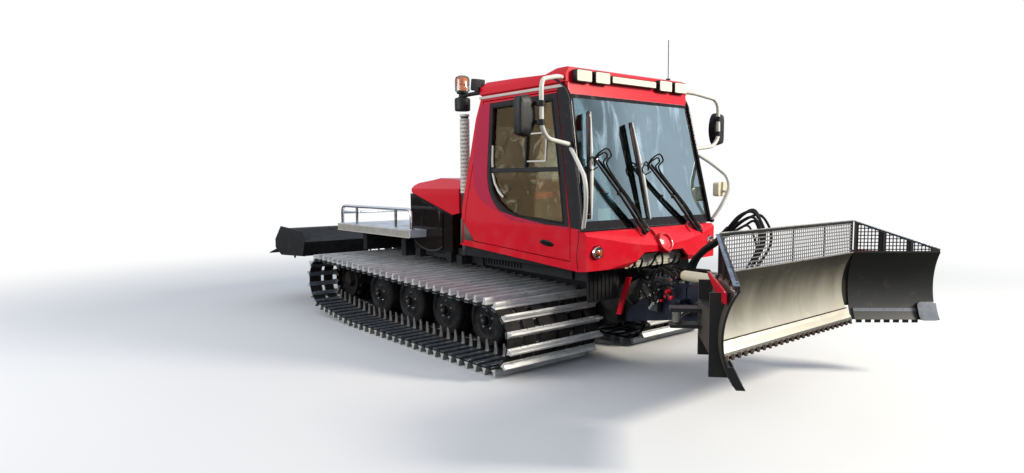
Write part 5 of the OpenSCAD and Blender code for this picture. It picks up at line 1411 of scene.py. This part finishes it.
for name, side in sides:
    door = "door_" + name
    # pressed band of the door round its window, in a deeper red
    inner = spaced(windowEdge(0.046)[:-3] + [(screenX(1.29) - 0.16, 1.283)], 26)
    outer = spaced([(0.52, 2.43), (0.452, 2.2), (0.43, 1.98), (0.432, 1.76), (0.47, 1.6), (0.57, 1.5),
                    (0.722, 1.432), (1.0, 1.372), (1.315, 1.325), (1.838, 1.262)], 26)
    band = Shape()
    # pressed band of the door round its window, in a deeper red that is painted shade along the window's frame
    band.skin([onSide(edge, side, lift) for edge, lift in
               ((outer, 0.0006), (outer, 0.0052), (inner, 0.0052), (inner, 0.0006))])
    band.piece("doorBand_" + name, "shadeRed", door, bevel=0.003, smooth=50)
    # recessed handle
    recess, lever = shapes(2)
    ring = [(1.56 + 0.093 * math.cos(a) * (1 if abs(math.cos(a)) < 0.7 else 0.98),
             1.134 + 0.027 * math.sin(a) - 0.1 * 0.093 * math.cos(a)) for a in [math.pi * k / 14 for k in range(28)]]
    recess.add([(x, side * 0.9035, z) for x, z in ring], [tuple(range(28))])
    lever.run(centredBox(0.062, 0.011, 0.008), (1.565, side * 0.902, 1.136), (1.565, side * 0.9095, 1.136),
              (0.995, 0, -0.1), (0.1, 0, 0.995))
    lever.rod((1.632, side * 0.902, 1.127), (1.632, side * 0.9085, 1.127), 0.01, 16)
    recess.piece("handleRecess_" + name, "plastic", door, thick=0.002)
    lever.piece("doorHandle_" + name, "gloss", door, bevel=0.002)
    # silver frame of the sliding pane, pale strips inside the lower rear edge
    slider = sideRing(rectangle(1.215, 1.85, 1.492, 2.112), rectangle(1.228, 1.863, 1.479, 2.099), side, -0.012, 0.01)
    slider.piece("slidingFrame_" + name, "satin", door)
    strip = Shape()
    for path in ([(0.728, 2.02), (0.732, 1.9), (0.742, 1.812)],
                 [(0.748, 1.752), (0.785, 1.66), (0.85, 1.58), (0.925, 1.525)]):
        strip.loft([(p, 0.011) for p in onSide(path, side, -0.006)], 8)
    strip.piece("paneStrips_" + name, "satin", door)
    # black pipe along the roof's edge and down the corner of the windscreen
    pipe = Shape()
    path = [(0.52, 0.806, 2.618), (1.38, 0.806, 2.6), (1.61, 0.836, 2.56), (1.722, 0.832, 2.48)]
    path += [(screenX(z) + 0.012, sideY(z) - 0.004, z) for z in (2.4, 1.8, 1.285)]
    pipe.tube([(x, side * y, z) for x, y, z in path], 0.0125, 14, bend=0.06)
    pipe.piece("cornerPipe_" + name, "gloss")
    # joint between door and cowl, rear corner patches
    joint = Shape()
    line = [(1.948, 1.262), (1.954, 1.186), (1.938, 1.11), (1.932, 1.02), (1.95, 0.93)]
    joint.skin([[(x + half, side * 0.9015, z) for x, z in line] for half in (-0.0035, 0.0035)])
    joint.piece("cowlJoint_" + name, "plastic", thick=0.001)
    for part, body, outline in (("", "vehicle", [(0.248, 1.05), (0.294, 1.049), (0.294, 1.289), (0.262, 1.3)]),
                                ("Door", door, [(0.316, 1.08), (0.484, 1.076), (0.316, 1.262)])):
        patch = Shape()
        patch.add([(x, side * 0.9022, z) for x, z in outline], [tuple(range(len(outline)))])
        patch.piece("cornerPatch" + part + "_" + name, "patch", body, thick=0.0015)
    # sill panels under the cab and hood, with upright ribs
    sill, ribs = shapes(2)
    sill.slab([(-0.9, 0.835), (1.88, 0.805), (1.88, 0.918), (0.245, 1.026), (0.225, 0.955), (-0.9, 0.955)],
              side * 0.7, side * 0.716)
    for k in range(15):
        x = 0.33 + 0.046 * k
        ribs.block((x, side * 0.722 - 0.006, 0.838), (x + 0.018, side * 0.722 + 0.006, 0.98 - k * 0.004))
    sill.piece("sillPanel_" + name, "plastic", bevel=0.002)
    ribs.piece("sillRibs_" + name, "plastic", bevel=0.002)
    # gloss side panel of the hood with a curved lower lip
    panel, lip = shapes(2)
    y = 0.79
    edge = [(-0.3, 0.93), (-0.4, 0.908), (-0.52, 0.904), (-0.65, 0.925), (-0.76, 0.972), (-0.84, 1.035),
            (-0.895, 1.06)]
    panel.slab([(-0.232, 1.33), (-0.24, 0.965)] + edge + [(-0.895, 1.545)], side * y, side * (y + 0.012))
    lip.loft([(Vector((x, side * (y + 0.01), z)), 0.011) for x, z in [(-0.24, 0.965)] + edge], 8)
    panel.piece("hoodPanel_" + name, "gloss", bevel=0.004)
    lip.piece("hoodLip_" + name, "grey")

# Work lights at the roof's rear corners
light, face = shapes(2)
for side in (1, -1):
    y = side * 0.8
    light.run(centredBox(0.058, 0.058, 0.014), (0.395, y, 2.64), (0.475, y, 2.628), v=(0.14, 0, 0.99))
    light.tube([(0.445, y, 2.59), (0.455, side * 0.79, 2.545), (0.5, side * 0.78, 2.53)], 0.014, 10, bend=0.02)
    light.block((0.47, y - 0.07, 2.56), (0.53, y + 0.03, 2.6))
    face.run(centredBox(0.05, 0.05, 0.012), (0.39, y, 2.641), (0.396, y, 2.64), v=(0.14, 0, 0.99))
light.piece("rearWorkLights", "plastic", bevel=0.003)
face.piece("rearWorkLenses", "lens")

print("stage: nose")

# Ring round the boss, lips of the two scoops, the plate and hoses in the nose's opening
ring, rims, plate, noseHoses = shapes(4)
axis = turned(math.radians(22))[0]
centre = Vector((2.142, 0, 1.12))
ring.lathe([(0.01, 0.066), (0.012, 0.09), (0.018, 0.093), (0.026, 0.088), (0.03, 0.08), (0.026, 0.072),
            (0.018, 0.067)], centre, axis, 48, closed=True)
ring.lathe([(0.012, 0.066), (0.016, 0.05), (0.02, 0.026), (0.021, 0.001)], centre, axis, 48)
across = Vector((0, 1, 0))
scoopAxis = turned(math.radians(48))[0]
for y in (-0.15, 0.56):
    path = [onCircle(Vector((2.065, y, 1.208)) + scoopAxis * 0.004, across, scoopAxis.cross(across), 0.096,
                     math.radians(turn)) for turn in range(-20, 201, 10)]
    rims.loft([(p, 0.009 if 0 < i < len(path) - 1 else 0.003) for i, p in enumerate(path)], 10)
plate.block((2.018, -0.395, 0.905), (2.026, 0.395, 1.02))
for k in range(3):
    plate.block((2.024, -0.38, 0.925 + 0.03 * k), (2.031, 0.38, 0.934 + 0.03 * k))
for y0, y1, top in ((-0.33, -0.225, 0.985), (-0.08, 0.075, 1.01), (0.235, 0.33, 0.985)):
    mid = (y0 + y1) / 2
    path = [(2.03, y0, 0.9), (2.06, y0 + 0.01, 0.93), (2.085, mid - 0.03, top), (2.083, mid + 0.04, top),
            (2.062, y1, 0.925), (2.03, y1, 0.89)]
    noseHoses.loft([(p, 0.01) for p in flowing(path, 7)], 10)
ring.piece("noseRing", "wetRed", smooth=60)
rims.piece("scoopLips", "wetRed", smooth=60)
plate.piece("noseBackPlate", "bezel", bevel=0.002)
noseHoses.piece("noseHoses", "rubber")

# Dark bulkhead behind the linkage
bulk = Shape()
for side in (1, -1):
    bulk.block((1.872, side * 0.517 - 0.199, 0.62), (1.888, side * 0.517 + 0.199, 0.925))
bulk.block((1.8, -0.318, 0.815), (1.816, 0.318, 0.935))
for k in range(7):
    bulk.block((1.884, -0.7 + 0.05 * k, 0.64), (1.896, -0.68 + 0.05 * k, 0.9))
bulk.piece("frontBulkhead", "plastic", bevel=0.003)

print("stage: cab inside")


# Rings of a rounded rectangle along a line; the ends draw in, so that subdivision rounds them
def pad(name, look, start, end, halfU, halfV, v=(0, 0, 1), bulge=0.06):
    start, end, u, v = Vector(start), Vector(end), Vector((0, 1, 0)), Vector(v)
    shape, rows = Shape(), []
    outline = centredBox(halfU, halfV, min(halfU, halfV) * 0.6, 2)
    half = [(0.0, 0.72), (0.02, 0.9), (0.08, 1.0), (0.3, 1.0 + bulge * 0.7)]
    for t, size in half + [(0.5, 1.0 + bulge)] + [(1 - t, size) for t, size in reversed(half)]:
        spot = start.lerp(end, t)
        rows.append([spot + u * (a * size) + v * (b * size) for a, b in outline])
    shape.rings(rows)
    piece = shape.piece(name, look, subdivide=2, smooth=180)
    return piece


# Driver's seat: its place across, the lean of its back and the back's foot
seatY = 0.275
lean = Vector((-0.14, 0, 0.99))
foot = Vector((0.925, seatY, 1.45))
first = pad("seatCushion", "cloth", (0.9, seatY, 1.395), (1.29, seatY, 1.42), 0.165, 0.048)
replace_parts(first, "seats")
pad("seatBack", "greyCloth", foot, foot + lean * 0.64, 0.165, 0.045, (1, 0, 0.14))
for name, shift in (("Left", 0.195), ("Right", -0.195)):
    pad("cushionBolster" + name, "redCloth", (0.905, seatY + shift, 1.405), (1.295, seatY + shift, 1.43), 0.038, 0.055)
    low = foot + Vector((0.02, shift, 0))
    pad("backBolster" + name, "redCloth", low + Vector((0, 0, 0.03)), low + lean * 0.61, 0.036, 0.058, (1, 0, 0.14))
    y = seatY + shift * 1.3
    pad("armrest" + name, "cloth", (0.93, y, 1.64), (1.2, y, 1.66), 0.03, 0.022)
pad("sideCushion", "redCloth", (0.82, -0.39, 1.52), (1.05, -0.39, 1.54), 0.05, 0.03)

# Seat base with its bellows, steering wheel, consoles and dials
base, wheel, wheelBoss, console, dials = shapes(5)
base.block((0.9, seatY - 0.19, 1.042), (1.24, seatY + 0.19, 1.09))
for k in range(6):
    grow, low = 0.0 if k % 2 else 0.016, 1.09 + 0.035 * k
    base.block((0.92 - grow, seatY - 0.16 - grow, low), (1.21 + grow, seatY + 0.16 + grow, low + 0.035))
base.block((0.88, seatY - 0.21, 1.3), (1.29, seatY + 0.21, 1.345))
base.block((0.86, -0.43, 1.042), (1.01, -0.35, 1.48))
tilt = Vector((-0.5, 0, 0.87))
hub = Vector((1.44, seatY, 1.56))
wheel.lathe([(0.013 * math.sin(a), 0.185 + 0.013 * math.cos(a)) for a in [2 * math.pi * k / 10 for k in range(10)]],
            hub, tilt, 48, closed=True)
for turn in (90, 210, 330):
    rim = onCircle(hub, across, tilt.cross(across), 0.18, math.radians(turn))
    wheelBoss.rod(hub - tilt * 0.012, rim, 0.011, 10)
wheelBoss.lathe([(-0.03, 0.03), (-0.02, 0.045), (0.008, 0.042), (0.016, 0.02), (0.017, 0.001)], hub, tilt, 24)
wheelBoss.rod(hub - tilt * 0.03, (1.64, seatY, 1.22), 0.03, 16)
console.block((1.05, -0.02, 1.042), (1.42, 0.05, 1.56))
console.rod((1.3, 0.015, 1.56), (1.32, 0.015, 1.7), 0.012, 12)
console.ball((1.322, 0.015, 1.725), 0.032, 1.3)
console.block((1.7, -0.16, 1.262), (1.8, 0.48, 1.33))
console.block((1.5, -0.7, 1.23), (1.72, -0.38, 1.3))
dials.block((1.692, 0.14, 1.27), (1.7, 0.42, 1.325))
dials.block((1.64, -0.33, 1.3), (1.65, -0.17, 1.42))
dials.block((1.655, 0.64, 2.23), (1.665, 0.78, 2.38))
base.piece("seatBase", "plastic", bevel=0.004)
wheel.piece("steeringWheel", "plastic", smooth=60)
wheelBoss.piece("wheelBoss", "grey", bevel=0.002)
console.piece("consoles", "grey", bevel=0.006)
dials.piece("dashDials", "lens", bevel=0.002, slot="grey_plastic")

# Headliner, and a pale panel behind the top of the windscreen
trim = Shape()
trim.block((0.52, -0.77, 2.47), (1.66, 0.77, 2.484))
trim.run(centredBox(0.31, 0.065, 0.02), (1.7, 0.18, 2.36), (1.69, 0.18, 2.36), v=(0.2, 0, 0.98))
trim.piece("headliner", "paleTrim", bevel=0.004)
